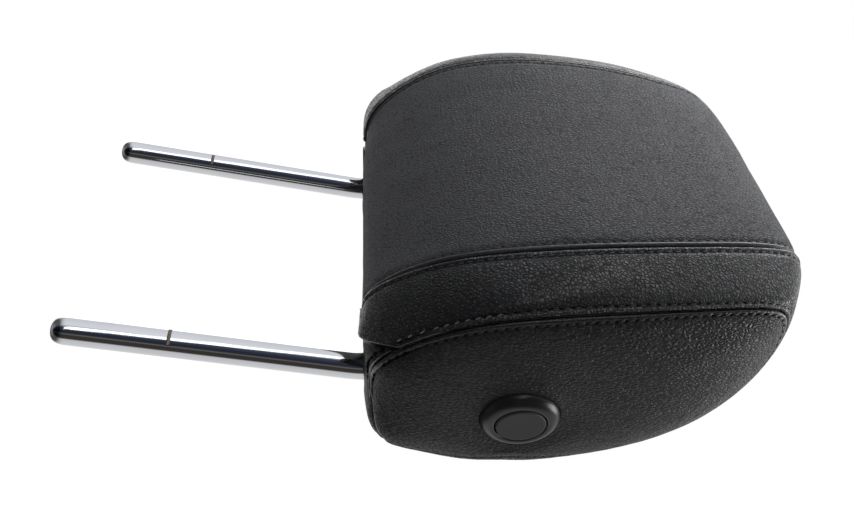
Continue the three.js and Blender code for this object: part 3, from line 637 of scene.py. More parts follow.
def side_cover(name, side):
    """The side panel: a ring of fine rows at its seam that thins out towards the button's place."""
    edge_columns = slice(BAND_END, COLUMN_COUNT)
    points = SIDE_POINTS[:, edge_columns]
    normals = SIDE_NORMALS[:, edge_columns]
    distance = across_distance(SIDE_POINTS, edge_columns, BAND_END)
    under = UNDER_WEIGHT[:, None]
    height = mixed_lip(distance, under) + pucker(distance, SIDE_RUN[:, None], 2) * (1 - under)
    height = height + swell(points) * np.clip(distance / 8, 0, 1)
    outer_rings = [points[:, j] + normals[:, j] * height[:, j, None] for j in range(points.shape[1])]
    inner_rings = [points[:, j] - normals[:, j] * COVER_THICKNESS for j in range(points.shape[1])]
    closeness = [distance[:, j] for j in range(points.shape[1])]
    stitch_distance = [distance[:, j] + NO_STITCHES * UNDER_WEIGHT for j in range(points.shape[1])]
    start = points[:, -1, 1:]
    middle = BUTTON_PLACE[1:]
    turn = start - middle
    reach = np.linalg.norm(turn, axis=1)
    stops = [0.12, 0.25, 0.4, 0.52, 0.62, 0.7, 0.77, 0.83, 0.88, 0.92, 0.96, 1.0]
    hub = BEZEL_RADIUS - 1.5
    for stop in stops:
        radius = reach + (hub - reach) * stop
        place = middle + turn / reach[:, None] * radius[:, None]
        x = side_surface(place[:, 0], place[:, 1])
        ring = np.column_stack([x, place])
        outward = side_normals(place[:, 0], place[:, 1])
        lift = swell(ring) * (1 - stop)
        if side > 0:
            lift = lift + follow_ring(ring, outward)
        outer_rings.append(ring + outward * lift[:, None])
        inner_rings.append(ring + outward * (np.minimum(lift, 0) - COVER_THICKNESS)[:, None])
        closeness.append(np.full(len(x), FAR))
        stitch_distance.append(np.full(len(x), FAR))
    mirrored = np.array([side, 1, 1])
    for k, (outer_ring, inner_ring) in enumerate(zip(outer_rings, inner_rings)):
        outward = unit(outer_ring - inner_ring)
        lift = fullness(outer_ring * mirrored)[:, None]
        outer_rings[k] = outer_ring + outward * lift
        inner_rings[k] = inner_ring + outward * np.minimum(lift, 0)
    steps = ring_steps(len(outer_rings), points.shape[1] + 1, 3)
    count = len(ROWS)
    vertices, edge, stitch_edge, stitch_run, index = [], [], [], [], []
    for rings in (outer_rings, inner_rings):
        layer = []
        for ring, step, near, stitch_near in zip(rings, steps, closeness, stitch_distance):
            layer.append(list(range(len(vertices), len(vertices) + count // step)))
            vertices += (ring[::step] * mirrored).tolist()
            unseen = [FAR] * (count // step)
            edge += near[::step].tolist() if rings is outer_rings else unseen
            stitch_edge += stitch_near[::step].tolist() if rings is outer_rings else unseen
            stitch_run += SIDE_RUN[::step].tolist()
        index.append(layer)
        tip = np.mean(rings[-1], 0) * mirrored
        below = COVER_THICKNESS if rings is inner_rings else 0
        tip[0] = side * side_surface(tip[1], tip[2]) - side * below
        layer.append([len(vertices)])
        vertices.append(tip.tolist())
        edge.append(FAR)
        stitch_edge.append(FAR)
        stitch_run.append(0.0)
    faces = []
    for layer in index:
        for fine, coarse in zip(layer[:-2], layer[1:-1]):
            n, m = len(fine), len(coarse)
            for i in range(m):
                k = (i + 1) % m
                if n == m:
                    faces.append((fine[i], fine[k], coarse[k], coarse[i]))
                else:
                    a, b, c = fine[2 * i], fine[2 * i + 1], fine[(2 * i + 2) % n]
                    faces.append((a, b, coarse[i]))
                    faces.append((b, c, coarse[k], coarse[i]))
        last, tip = layer[-2], layer[-1][0]
        faces += [(last[i], last[(i + 1) % len(last)], tip) for i in range(len(last))]
    rim_outer, rim_inner = index[0][0], index[1][0]
    for i in range(count):
        j = (i + 1) % count
        faces.append((rim_outer[i], rim_inner[i], rim_inner[j], rim_outer[j]))
    values = {
        "seam_distance": edge, "stitch_distance": stitch_edge, "stitch_run": stitch_run,
        "edge_distance": np.full(len(vertices), FAR),
    }
    piece = mesh_piece(name, vertices, faces, attributes=values)
    return piece, np.stack(outer_rings[:points.shape[1]], 1)


centre_seam_a = (CENTRE_END, STITCHED, CENTRE_RUN, 0)
centre_seam_b = (CENTRE_END, STITCHED, CENTRE_RUN, 1)
side_seam = (BAND_END, STITCHED, BAND_RUN, 2)
under_seam = (BAND_END, CLIMBED_WEIGHT, BAND_RUN, 3)

face_cover, face_grid = panel(
    "face_cover", FRONT, CENTRE_COLUMNS, [centre_seam_a],
    [(HEM_ANGLE, HEM_LIP), (TOP_SEAM_ANGLE, PLAIN_LIP)], "both", -1.5,
)
rear_cover, rear_grid = panel(
    "rear_cover", REAR, CENTRE_COLUMNS, [centre_seam_a],
    [(TOP_SEAM_ANGLE, PLAIN_LIP), (LOW_SEAM_ANGLE, PLAIN_LIP)], "both",
)
BAND_ROWS = slice(FRONT.start, REAR.stop)
bands = {}
band_grids = {}
for side_name in ("left", "right"):
    bands[side_name], band_grids[side_name] = panel(
        f"band_cover_{side_name}", BAND_ROWS, BAND_COLUMNS, [centre_seam_b, side_seam],
        [(HEM_ANGLE, HEM_LIP), (LOW_SEAM_ANGLE, PLAIN_LIP)], side_name, 0.9 if side_name == "right" else 0.1,
    )
under_cover, under_grid = panel(
    "under_cover", UNDER, UNDER_COLUMNS, [under_seam],
    [(LOW_SEAM_ANGLE, PLAIN_LIP), (HEM_ANGLE + 360, UNDER_HEM)], "both",
)
side_left, side_left_grid = side_cover("side_cover_left", -1)
side_right, side_right_grid = side_cover("side_cover_right", 1)

RING_ROOM = BEZEL_RADIUS + 0.25
side_room = turned(
    "side_room", [(0, -30), (RING_ROOM, -30), (RING_ROOM, 20), (0, 20)], button_place(), 120,
)
cut_out(side_right, side_room)
smooth(side_right, 60)


# Slot rims in the underside

def slot_place(side):
    turn = Matrix.Rotation(SLOT_LEAN, 4, "X") @ Matrix.Rotation(math.radians(90), 4, "Z")
    return Matrix.Translation((side * POST_HALF_SPACING, SLOT_Y, SLOT_Z)) @ turn


def slot_loop(half_width, steps=20):
    """Points round a long slot with round ends."""
    arc = np.linspace(-90, 90, steps)
    right = [(SLOT_HALF_STRAIGHT + half_width * math.cos(math.radians(a)),
              half_width * math.sin(math.radians(a))) for a in arc]
    left = [(-x, -y) for x, y in right]
    return right + left


def lofted(name, profile, place, sharp=None):
    """A closed ring swept round the slot from (half width, height) points."""
    loops = [[(x, y, height) for x, y in slot_loop(half_width)] for half_width, height in profile]
    count = len(loops[0])
    points = [place @ Vector(p) for loop in loops for p in loop]
    rings = [range(k * count, (k + 1) * count) for k in range(len(loops))]
    return mesh_piece(name, points, ring_faces(rings, closed=True), sharp)


def slot_block(name, half_width, low, high, place):
    """A solid block in the slot's outline, for cutting."""
    loop = slot_loop(half_width)
    points = [place @ Vector((x, y, h)) for h in (low, high) for x, y in loop]
    count = len(loop)
    low_ring, high_ring = range(count), range(count, 2 * count)
    faces = [*ring_faces([low_ring, high_ring]), list(low_ring)[::-1], list(high_ring)]
    return mesh_piece(name, points, faces)


for slot_side in (-1, 1):
    place = slot_place(slot_side)
    cut_out(
        under_cover,
        slot_block("collar_room", SLOT_HALF_WIDTH + SLOT_WALL + 0.3, -10, SLOT_DEPTH + 5, place),
        slot_block("flange_room", SLOT_HALF_WIDTH + SLOT_FLANGE + 0.25, -10, 0.65, place),
    )
smooth(under_cover, 60)

slot_rims = []
for slot_side, slot_name in ((-1, "left"), (1, "right")):
    bore = SLOT_HALF_WIDTH
    rim = SLOT_HALF_WIDTH + SLOT_FLANGE
    low = -SLOT_FLANGE_THICKNESS
    rim_profile = [
        (bore, SLOT_DEPTH - 1), (bore, low + 1.0), (bore + 0.25, low + 0.35), (bore + 0.8, low),
        (rim - 1.2, low), (rim - 0.4, low + 0.3), (rim, low + 0.95), (rim, 0.4),
        (bore + SLOT_WALL, 0.4), (bore + SLOT_WALL, SLOT_DEPTH - 1),
    ]
    slot_rims.append(lofted(f"slot_rim_{slot_name}", rim_profile, slot_place(slot_side), 50))


# Button and its ring

# Profiles as (radius, height) on the button's axis
bezel_profile = [
    (10.7, -6), (12.1, -6), (12.1, -3.0), (15.9, -3.0), (16.35, -2.6), (16.4, -1.2), (16.35, -0.1),
    (16.1, 0.9), (15.6, 1.85), (14.9, 2.65), (14.0, 3.3), (13.1, 3.7), (12.3, 3.86), (11.6, 3.85),
    (11.1, 3.72), (10.8, 3.45), (10.7, 3.1),
]
bezel = turned("button_ring", rounded(bezel_profile, 1), button_place(), 128, 60)
skirt_inner = BUTTON_RADIUS - 1.5
button_profile = [
    (0, -0.5), (ROD_ROOM, -0.5), (ROD_ROOM, -4), (BOSS_RADIUS, -4), (BOSS_RADIUS, BUTTON_UNDER),
    (skirt_inner, BUTTON_UNDER), (skirt_inner, -5.5), (BUTTON_RADIUS, -5.5),
    (BUTTON_RADIUS, BUTTON_TOP - 1.0), (BUTTON_RADIUS - 0.1, BUTTON_TOP - 0.55),
    (BUTTON_RADIUS - 0.35, BUTTON_TOP - 0.2), (BUTTON_RADIUS - 0.75, BUTTON_TOP - 0.03),
    (BUTTON_RADIUS - 1.3, BUTTON_TOP - 0.02), (BUTTON_RADIUS - 4, BUTTON_TOP - 0.08),
    (4, BUTTON_TOP - 0.12), (0, BUTTON_TOP - 0.13),
]
button = turned("button_cap", button_profile, button_place(), 128, 50)


def coil_spring():
    """The button's return spring, from the rod guide's flange to the underside of the cap."""
    sides = 12
    steps = SPRING_TURNS * 40
    lowest, highest = SPRING_ENDS
    rise = (highest - lowest) / (2 * math.pi * SPRING_TURNS)
    place = button_place()
    points = []
    for k in range(steps + 1):
        angle = 2 * math.pi * SPRING_TURNS * k / steps
        outward = np.array([math.cos(angle), math.sin(angle), 0.0])
        along = unit(np.array([-SPRING_RADIUS * math.sin(angle), SPRING_RADIUS * math.cos(angle), rise]))
        across = np.cross(along, outward)
        centre = outward * SPRING_RADIUS + np.array([0, 0, lowest + rise * angle])
        for a in ring_angles(sides):
            turned_out = outward * math.cos(a) + across * math.sin(a)
            points.append(place @ Vector(centre + SPRING_WIRE * turned_out))
    rings = [list(range(k * sides, (k + 1) * sides)) for k in range(steps + 1)]
    return mesh_piece("return_coil", points, [*ring_faces(rings), rings[0], rings[-1]], 50)


spring = coil_spring()


# Posts

def bend(before, corner, after, radius, steps):
    """Points round a corner of the bent bar."""
    before, corner, after = (np.array(p, float) for p in (before, corner, after))
    incoming, outgoing = unit(corner - before), unit(after - corner)
    turn = math.acos(float(incoming @ outgoing))
    start = corner - incoming * radius * math.tan(turn / 2)
    sideways = unit(outgoing - incoming * math.cos(turn))
    angles = np.linspace(0, turn, steps + 1)
    return [start + incoming * radius * math.sin(a) + sideways * radius * (1 - math.cos(a)) for a in angles]


def bar_line():
    arm_run = AXIS_Z - BEND_START_Z
    lean = math.atan(-AXIS_Y / arm_run)
    for _ in range(20):
        lean = math.atan(-AXIS_Y / (arm_run - BEND_RADIUS * math.tan(lean / 2)))
    low_z = BEND_START_Z + BEND_RADIUS * math.tan(lean / 2)
    half = POST_HALF_SPACING
    foot = np.array([-half, 0, TIP_Z + 10])
    low, high, middle = (-half, 0, low_z), (-half, AXIS_Y, AXIS_Z), (0, AXIS_Y, AXIS_Z)
    left = bend(foot, low, high, BEND_RADIUS, 14) + bend(low, high, middle, CORNER_RADIUS, 18)
    right = [p * MIRROR for p in left[::-1]]
    return left + right


def post_mesh():
    """Both posts and their crossbar as one bar, with rounded tips and a notch in the front of each."""
    sides = 72
    # Radius and height of the rounded tip
    tip = [
        (0.0, 0.0), (1.2, 0.03), (2.4, 0.2), (3.5, 0.65), (4.5, 1.4), (5.2, 2.4), (5.7, 3.7), (5.94, 5.0),
        (6.0, 6.4),
    ]
    stations, radii, notched = [], [], []
    half = POST_HALF_SPACING

    def add(point, radius, is_notch=False):
        stations.append(np.array(point, float))
        radii.append(radius)
        notched.append(is_notch)

    for radius, height in tip:
        add((-half, 0, TIP_Z + height), radius)
    plain_heights = np.arange(TIP_Z + 10, BEND_START_Z - 2, 4.0)
    notch_edges = np.array([NOTCH_HALF_WIDTH, NOTCH_HALF_WIDTH + 0.2])
    notch_heights = NOTCH_Z + np.concatenate([-notch_edges[::-1], notch_edges])
    plain_heights = plain_heights[abs(plain_heights - NOTCH_Z) > 2]
    for height in np.sort(np.concatenate([plain_heights, notch_heights])):
        add((-half, 0, height), BAR_RADIUS, abs(height - NOTCH_Z) < NOTCH_HALF_WIDTH + 0.1)
    before = len(stations)
    for point in bar_line():
        add(point, BAR_RADIUS)
    for k in reversed(range(before)):
        add(stations[k] * MIRROR, radii[k], notched[k])
    line = np.array(stations)
    along = unit(np.gradient(line, axis=0))
    along[:len(tip)] = [0, 0, 1]
    along[-len(tip):] = [0, 0, -1]
    front = np.array([0.0, -1.0, 0.0])
    points, index = [], []
    for k, (centre, radius, is_notch) in enumerate(zip(line, radii, notched)):
        if radius < 1e-6:
            index.append([len(points)] * sides)
            points.append(centre)
            continue
        u = unit(front - along[k] * (front @ along[k]))
        v = np.cross(along[k], u)
        index.append(list(range(len(points), len(points) + sides)))
        for a in ring_angles(sides):
            forward = radius * math.cos(a)
            if is_notch:
                forward = min(forward, radius - NOTCH_DEPTH)
            points.append(centre + u * forward + v * radius * math.sin(a))
    return mesh_piece("posts", points, ring_faces(index), 40)


posts = post_mesh()


# Materials

def new_material(name):
    material = bpy.data.materials.new(name)
    material.use_nodes = True
    tree = material.node_tree
    shader = tree.nodes["Principled BSDF"]
    return material, tree, shader


def shader_group(name, inputs, outputs):
    """An empty node group with named number sockets."""
    group = bpy.data.node_groups.new(name, "ShaderNodeTree")
    for label, value in inputs.items():
        socket = group.interface.new_socket(label, in_out="INPUT", socket_type="NodeSocketFloat")
        socket.default_value = value
    for label in outputs:
        group.interface.new_socket(label, in_out="OUTPUT", socket_type="NodeSocketFloat")
    return group, group.nodes.new("NodeGroupInput"), group.nodes.new("NodeGroupOutput")


def add_node(tree, kind, settings=None, **links):
    """A node with its settings, and its inputs set or linked by name (spaces as underscores) or number."""
    node = tree.nodes.new(kind)
    for key, value in (settings or {}).items():
        setattr(node, key, value)
    for key, value in links.items():
        if key[0] == "i" and key[1:].isdigit():
            socket = node.inputs[int(key[1:])]
        else:
            socket = node.inputs[key.replace("_", " ")]
        if isinstance(value, bpy.types.NodeSocket):
            tree.links.new(value, socket)
        else:
            socket.default_value = value
    return node


def math_node(tree, operation, a, b=0.0, c=0.0):
    return add_node(tree, "ShaderNodeMath", {"operation": operation}, i0=a, i1=b, i2=c).outputs[0]


def vector_node(tree, operation, a, **values):
    return add_node(tree, "ShaderNodeVectorMath", {"operation": operation}, i0=a, **values).outputs[0]


def attribute(tree, name):
    return add_node(tree, "ShaderNodeAttribute", {"attribute_name": name}).outputs["Fac"]


def scaled(colour, factor):
    return (*[c * factor for c in colour], 1)


def map_range(tree, value, from_min, from_max, to_min=0.0, to_max=1.0):
    node = add_node(
        tree, "ShaderNodeMapRange", {"clamp": True, "interpolation_type": "SMOOTHSTEP"},
        Value=value, From_Min=from_min, From_Max=from_max, To_Min=to_min, To_Max=to_max,
    )
    return node.outputs[0]


def object_coordinates(tree):
    return tree.nodes.new("ShaderNodeTexCoord").outputs["Object"]


def make_leather_grain():
    """Pebbled grain: rounded cells between narrow valleys, with finer cells inside the larger ones."""
    group, start, end = shader_group(
        "leather grain", {"Pebble": 0.0012, "Unevenness": 0.4, "Stretch": 1.0, "Width": 0.17},
        ["Height", "Valley", "Tone"],
    )

    def from_edge(scale, randomness):
        return add_node(
            group, "ShaderNodeTexVoronoi", {"feature": "DISTANCE_TO_EDGE"}, Vector=bent, Scale=scale,
            Randomness=randomness,
        ).outputs["Distance"]

    squeeze = add_node(group, "ShaderNodeCombineXYZ", X=1.0, Y=1.0, Z=start.outputs["Stretch"])
    place = vector_node(group, "MULTIPLY", object_coordinates(group), i1=squeeze.outputs[0])
    scale = math_node(group, "DIVIDE", 1.0, start.outputs["Pebble"])
    warp = add_node(group, "ShaderNodeTexNoise", Vector=place, Scale=260.0, Detail=1.0)
    shift = vector_node(group, "SUBTRACT", warp.outputs["Color"], i1=(0.5, 0.5, 0.5))
    bent = vector_node(group, "ADD", place, i1=vector_node(group, "SCALE", shift, Scale=0.0014))
    from_cell_edge = from_edge(scale, 0.9)
    dome = map_range(group, from_cell_edge, -0.12, 0.42)
    fine_dome = map_range(group, from_edge(math_node(group, "MULTIPLY", scale, 2.1), 1.0), -0.05, 0.35)
    slow = add_node(group, "ShaderNodeTexNoise", Vector=place, Scale=55.0, Detail=3.0)
    creases = add_node(group, "ShaderNodeTexNoise", Vector=place, Scale=240.0, Detail=3.0, Distortion=0.8)
    slow_share = math_node(group, "MULTIPLY", creases.outputs["Fac"], start.outputs["Unevenness"])
    both = math_node(group, "MULTIPLY_ADD", fine_dome, 0.3, dome)
    valley = map_range(group, from_cell_edge, 0.0, start.outputs["Width"], 1.0, 0.0)
    group.links.new(math_node(group, "ADD", both, slow_share), end.inputs["Height"])
    group.links.new(valley, end.inputs["Valley"])
    group.links.new(slow.outputs["Fac"], end.inputs["Tone"])
    return group


def make_stitch_holes():
    """Hollows at the thread holes, from the distance to the seam and the length along it, in mm."""
    group, start, end = shader_group("stitch holes", {"Distance": FAR, "Run": 0.0}, ["Hollow"])
    from_line = math_node(group, "SUBTRACT", start.outputs["Distance"], STITCH_OFFSET)
    slanted = math_node(group, "MULTIPLY_ADD", from_line, 0.9, start.outputs["Run"])
    turn = math_node(group, "MULTIPLY", slanted, 2 * math.pi / STITCH_PITCH)
    wave = math_node(group, "COSINE", turn)
    hole = map_range(group, wave, -0.55, 0.95)
    near = map_range(group, math_node(group, "ABSOLUTE", from_line), 0.1, 0.95, 1.0, 0.0)
    group.links.new(math_node(group, "MULTIPLY", hole, near), end.inputs["Hollow"])
    return group


def make_fine_noise():
    """Fine even roughness of moulded plastic, metal or foam."""
    group, start, end = shader_group("fine noise", {"Size": 0.0003, "Detail": 3.0}, ["Height", "Slow"])
    place = object_coordinates(group)
    scale = math_node(group, "DIVIDE", 1.0, start.outputs["Size"])
    fine = add_node(
        group, "ShaderNodeTexNoise", Vector=place, Scale=scale, Detail=start.outputs["Detail"], Roughness=0.6,
    )
    slow = add_node(group, "ShaderNodeTexNoise", Vector=place, Scale=35.0, Detail=2.0)
    group.links.new(fine.outputs["Fac"], end.inputs["Height"])
    group.links.new(slow.outputs["Fac"], end.inputs["Slow"])
    return group


LEATHER_GRAIN = make_leather_grain()
STITCH_HOLES = make_stitch_holes()
FINE_NOISE = make_fine_noise()


def placed_group(tree, group, **values):
    node = tree.nodes.new("ShaderNodeGroup")
    node.node_tree = group
    for key, value in values.items():
        node.inputs[key].default_value = value
    return node


def mix_colour(tree, share, a, b):
    node = tree.nodes.new("ShaderNodeMix")
    node.data_type = "RGBA"
    for socket, value in ((node.inputs[0], share), (node.inputs[6], a), (node.inputs[7], b)):
        if isinstance(value, bpy.types.NodeSocket):
            tree.links.new(value, socket)
        else:
            socket.default_value = value
    return node.outputs[2]


def leather(name, dark, light, pebble, depth, roughness, stretch, hole, lip_shade=0.0, coat=0.0,
            valley_shade=0.6, valley_width=0.17):
    """Leather with painted shade in its grain valleys, thread holes and seam grooves and, by lip_shade, on
    its seam lips; polished lips at the seams; a painted highlight along the folded edges.
    """
    material, tree, shader = new_material(name)
    grain = placed_group(
        tree, LEATHER_GRAIN, Pebble=pebble, Unevenness=1.1, Stretch=stretch, Width=valley_width,
    )
    near = attribute(tree, "seam_distance")
    holes = placed_group(tree, STITCH_HOLES)
    tree.links.new(attribute(tree, "stitch_distance"), holes.inputs["Distance"])
    tree.links.new(attribute(tree, "stitch_run"), holes.inputs["Run"])
    groove = map_range(tree, near, 0.15, 0.5, 1.0, 0.0)
    lip = map_range(tree, near, 2.9, 2.2, 0.0, 1.0)
    tone = map_range(tree, grain.outputs["Tone"], 0.3, 0.7)
    base = mix_colour(tree, tone, (*dark, 1), (*light, 1))
    # Painted shade: the grain's valleys are darkened by valley_shade
    valley = math_node(tree, "MULTIPLY", grain.outputs["Valley"], valley_shade)
    base = mix_colour(tree, valley, base, scaled(dark, 0.25))
    # Painted shade on the seam lips, by lip_shade
    base = mix_colour(tree, math_node(tree, "MULTIPLY", lip, lip_shade), base, scaled(dark, 0.2))
    # Painted shade in the seam grooves and the thread holes
    unlit = math_node(tree, "MAXIMUM", groove, math_node(tree, "MULTIPLY", holes.outputs["Hollow"], hole))
    base = mix_colour(tree, unlit, base, scaled(dark, 0.15))
    # Painted highlight: a thin pale line along the hem and the low part of the side seam, where the folded
    # edge would catch the light
    from_fold = math_node(tree, "SUBTRACT", attribute(tree, "edge_distance"), 0.75)
    painted_edge_highlight = map_range(tree, math_node(tree, "ABSOLUTE", from_fold), 0.1, 0.45, 0.8, 0.0)
    base = mix_colour(tree, painted_edge_highlight, base, (0.13, 0.13, 0.13, 1))
    tree.links.new(base, shader.inputs["Base Color"])
    polish = math_node(tree, "MULTIPLY", lip, roughness * -0.45)
    matt = math_node(tree, "MULTIPLY", math_node(tree, "MAXIMUM", grain.outputs["Valley"], unlit), 0.3)
    rough = math_node(tree, "ADD", math_node(tree, "ADD", polish, roughness), matt)
    tree.links.new(rough, shader.inputs["Roughness"])
    shader.inputs["Specular IOR Level"].default_value = 0.5
    coated = math_node(tree, "MULTIPLY_ADD", lip, 0.35, coat)
    domes = math_node(tree, "SUBTRACT", 1.0, valley)
    tree.links.new(math_node(tree, "MULTIPLY", coated, domes), shader.inputs["Coat Weight"])
    shader.inputs["Coat Roughness"].default_value = 0.16
    softened = math_node(tree, "SUBTRACT", 1.0, math_node(tree, "MULTIPLY", lip, 0.55))
    pebbles = math_node(tree, "MULTIPLY", grain.outputs["Height"], softened)
    bump = add_node(tree, "ShaderNodeBump", Strength=1.0, Distance=depth, Height=pebbles)
    sunk = math_node(tree, "MULTIPLY", holes.outputs["Hollow"], -1.0)
    deep = add_node(
        tree, "ShaderNodeBump", Strength=1.0, Distance=0.00045 * hole, Height=sunk,
        Normal=bump.outputs["Normal"],
    )
    tree.links.new(deep.outputs["Normal"], shader.inputs["Normal"])
    return material


def plain(name, base, roughness, metallic=0.0, size=0.0004, depth=0.00002, contrast=0.15, specular=0.5):
    """Moulded plastic, foam or metal with a fine even surface and a slow change of tone."""
    material, tree, shader = new_material(name)
    noise = placed_group(tree, FINE_NOISE, Size=size)
    tone = map_range(tree, noise.outputs["Slow"], 0.35, 0.65)
    colour = mix_colour(tree, tone, scaled(base, 1 - contrast), scaled(base, 1 + contrast))
    tree.links.new(colour, shader.inputs["Base Color"])
    rough = math_node(tree, "MULTIPLY_ADD", noise.outputs["Height"], roughness * 0.4, roughness * 0.8)
    tree.links.new(rough, shader.inputs["Roughness"])
    shader.inputs["Metallic"].default_value = metallic
    shader.inputs["Specular IOR Level"].default_value = specular
    bump = add_node(tree, "ShaderNodeBump", Strength=0.6, Distance=depth, Height=noise.outputs["Height"])
    tree.links.new(bump.outputs["Normal"], shader.inputs["Normal"])
    return material


def darken_notches(material):
    """Bare metal on the flat floor of the notches, which lies deeper than the rest of the bar."""
    tree = material.node_tree
    shader = tree.nodes["Principled BSDF"]
    place = add_node(tree, "ShaderNodeSeparateXYZ", Vector=object_coordinates(tree))
    off_notch = math_node(tree, "ABSOLUTE", math_node(tree, "SUBTRACT", place.outputs["Z"], NOTCH_Z * MM))
    along = map_range(tree, off_notch, 0.0007, 0.0008, 1.0, 0.0)
    forward = map_range(tree, place.outputs["Y"], -0.00365, -0.0036, 1.0, 0.0)
    inside = math_node(tree, "MULTIPLY", along, forward)
    colour = mix_colour(tree, inside, shader.inputs["Base Color"].links[0].from_socket, (0.24, 0.21, 0.17, 1))
    tree.links.new(colour, shader.inputs["Base Color"])
    bare = math_node(tree, "MULTIPLY", inside, 0.5)
    rough = math_node(tree, "MAXIMUM", shader.inputs["Roughness"].links[0].from_socket, bare)
    tree.links.new(rough, shader.inputs["Roughness"])


# The face leather's colour is painted light: it is raised well above the band and side leathers' colour to
# brighten the front face beyond what the lamps give it
SMOOTH_LEATHER = leather(
    "face leather", (0.074, 0.074, 0.084), (0.092, 0.092, 0.103), pebble=0.0011, depth=0.00036,
    roughness=0.55, stretch=0.55, hole=0.55, lip_shade=0.6,
)
COARSE_LEATHER = leather(
    "band leather", (0.018, 0.018, 0.021), (0.027, 0.027, 0.031), pebble=0.0014, depth=0.0009,
    roughness=0.34, stretch=1.0, hole=0.75, coat=0.6, valley_shade=1.0, valley_width=0.3,
)
FINE_LEATHER = leather(
    "side leather", (0.011, 0.011, 0.013), (0.018, 0.018, 0.021), pebble=0.00125, depth=0.00032,
    roughness=0.40, stretch=0.5, hole=0.75,
)
THREAD = plain("black thread", (0.026, 0.026, 0.028), 0.4, size=0.00025, depth=0.00008, specular=0.7)
DULL_THREAD = plain(
    "dull black thread", (0.004, 0.004, 0.0045), 0.9, size=0.00025, depth=0.00008, specular=0.1,
)
# Pale thread: a painted highlight that stands in for the glints of the threads along the low end of the
# band's lower seam
GLINT_THREAD = plain("glint thread", (0.2, 0.2, 0.205), 0.5, size=0.00025, depth=0.00008)
CHROME = plain("chrome", (0.82, 0.83, 0.85), 0.07, 1.0, size=0.002, depth=0.0000015, contrast=0.02)
darken_notches(CHROME)
RING_PLASTIC = plain("satin ring plastic", (0.016, 0.016, 0.017), 0.3, size=0.0004, depth=0.00001)
CAP_PLASTIC = plain("matte button plastic", (0.040, 0.040, 0.042), 0.6, size=0.00025, depth=0.00003)
SLOT_PLASTIC = plain("slot plastic", (0.014, 0.014, 0.015), 0.55, size=0.0004, depth=0.00002)
CORE_PLASTIC = plain("core plastic", (0.05, 0.05, 0.053), 0.55, size=0.0008, depth=0.00003)
BUSH_PLASTIC = plain("bush plastic", (0.62, 0.60, 0.54), 0.45, size=0.0008, depth=0.00002)
STEEL = plain("steel", (0.46, 0.47, 0.48), 0.35, 1.0, size=0.0006, depth=0.00001)
FOAM = plain("foam", (0.34, 0.33, 0.29), 0.95, size=0.0009, depth=0.0003, contrast=0.2, specular=0.1)


def finish(piece, material):
    """Gives a piece its material."""
    piece.data.materials.clear()
    piece.data.materials.append(material)


# Stitches

def make_stitch_tree():
    """Places one short thread on each point, turned to the seam and sunk at both ends."""
    tree = bpy.data.node_groups.new("stitches", "GeometryNodeTree")
    for label, kind in (
        ("Geometry", "Geometry"), ("Length", "Float"), ("Thickness", "Float"), ("Slant", "Float"),
        ("Material", "Material"),
    ):
        tree.interface.new_socket(label, in_out="INPUT", socket_type=f"NodeSocket{kind}")
    tree.interface.new_socket("Geometry", in_out="OUTPUT", socket_type="NodeSocketGeometry")
    start, end = tree.nodes.new("NodeGroupInput"), tree.nodes.new("NodeGroupOutput")
    bead = add_node(tree, "GeometryNodeMeshUVSphere", Segments=8, Rings=6, Radius=0.5)
    size = add_node(
        tree, "ShaderNodeCombineXYZ", X=start.outputs["Length"], Y=start.outputs["Thickness"],
        Z=start.outputs["Thickness"],
    )
    thread = add_node(tree, "GeometryNodeTransform", Geometry=bead.outputs["Mesh"], Scale=size.outputs[0])
    along = add_node(tree, "GeometryNodeInputNamedAttribute", {"data_type": "FLOAT_VECTOR"}, Name="along")
    outward = add_node(tree, "GeometryNodeInputNamedAttribute", {"data_type": "FLOAT_VECTOR"}, Name="outward")
    turn = add_node(
        tree, "FunctionNodeAxesToRotation", {"primary_axis": "Z", "secondary_axis": "X"},
        Primary_Axis=outward.outputs["Attribute"], Secondary_Axis=along.outputs["Attribute"],
    )
    low = math_node(tree, "SUBTRACT", start.outputs["Slant"], 0.07)
    high = math_node(tree, "ADD", start.outputs["Slant"], 0.07)
    wobble = add_node(tree, "FunctionNodeRandomValue", {"data_type": "FLOAT"}, i2=low, i3=high, Seed=5)
    slant = add_node(tree, "FunctionNodeAxisAngleToRotation", Axis=(0, 0, 1), Angle=wobble.outputs[1])
    whole = add_node(
        tree, "FunctionNodeRotateRotation", {"rotation_space": "LOCAL"}, Rotation=turn.outputs[0],
        Rotate_By=slant.outputs[0],
    )
    placed = add_node(
        tree, "GeometryNodeInstanceOnPoints", Points=start.outputs["Geometry"],
        Instance=thread.outputs["Geometry"], Rotation=whole.outputs[0],
    )
    real = add_node(tree, "GeometryNodeRealizeInstances", Geometry=placed.outputs[0])
    dressed_thread = add_node(
        tree, "GeometryNodeSetMaterial", Geometry=real.outputs[0], Material=start.outputs["Material"],
    )
    tree.links.new(dressed_thread.outputs[0], end.inputs["Geometry"])
    return tree


STITCH_TREE = make_stitch_tree()


def stitch_points(path, outward, length_along, skip=3.0):
    """Places of the stitches on a path, in the middle between the holes of the pucker."""
    first = math.ceil((length_along[0] + skip) / STITCH_PITCH - 0.5)
    last = math.floor((length_along[-1] - skip) / STITCH_PITCH - 0.5)
    at = (np.arange(first, last + 1) + 0.5) * STITCH_PITCH
    rows = np.interp(at, length_along, np.arange(len(path)))
    ahead = np.gradient(path, axis=0)

    def pick(values):
        return np.column_stack([np.interp(rows, np.arange(len(path)), values[:, k]) for k in range(3)])
    return pick(path), unit(pick(ahead)), unit(pick(outward))


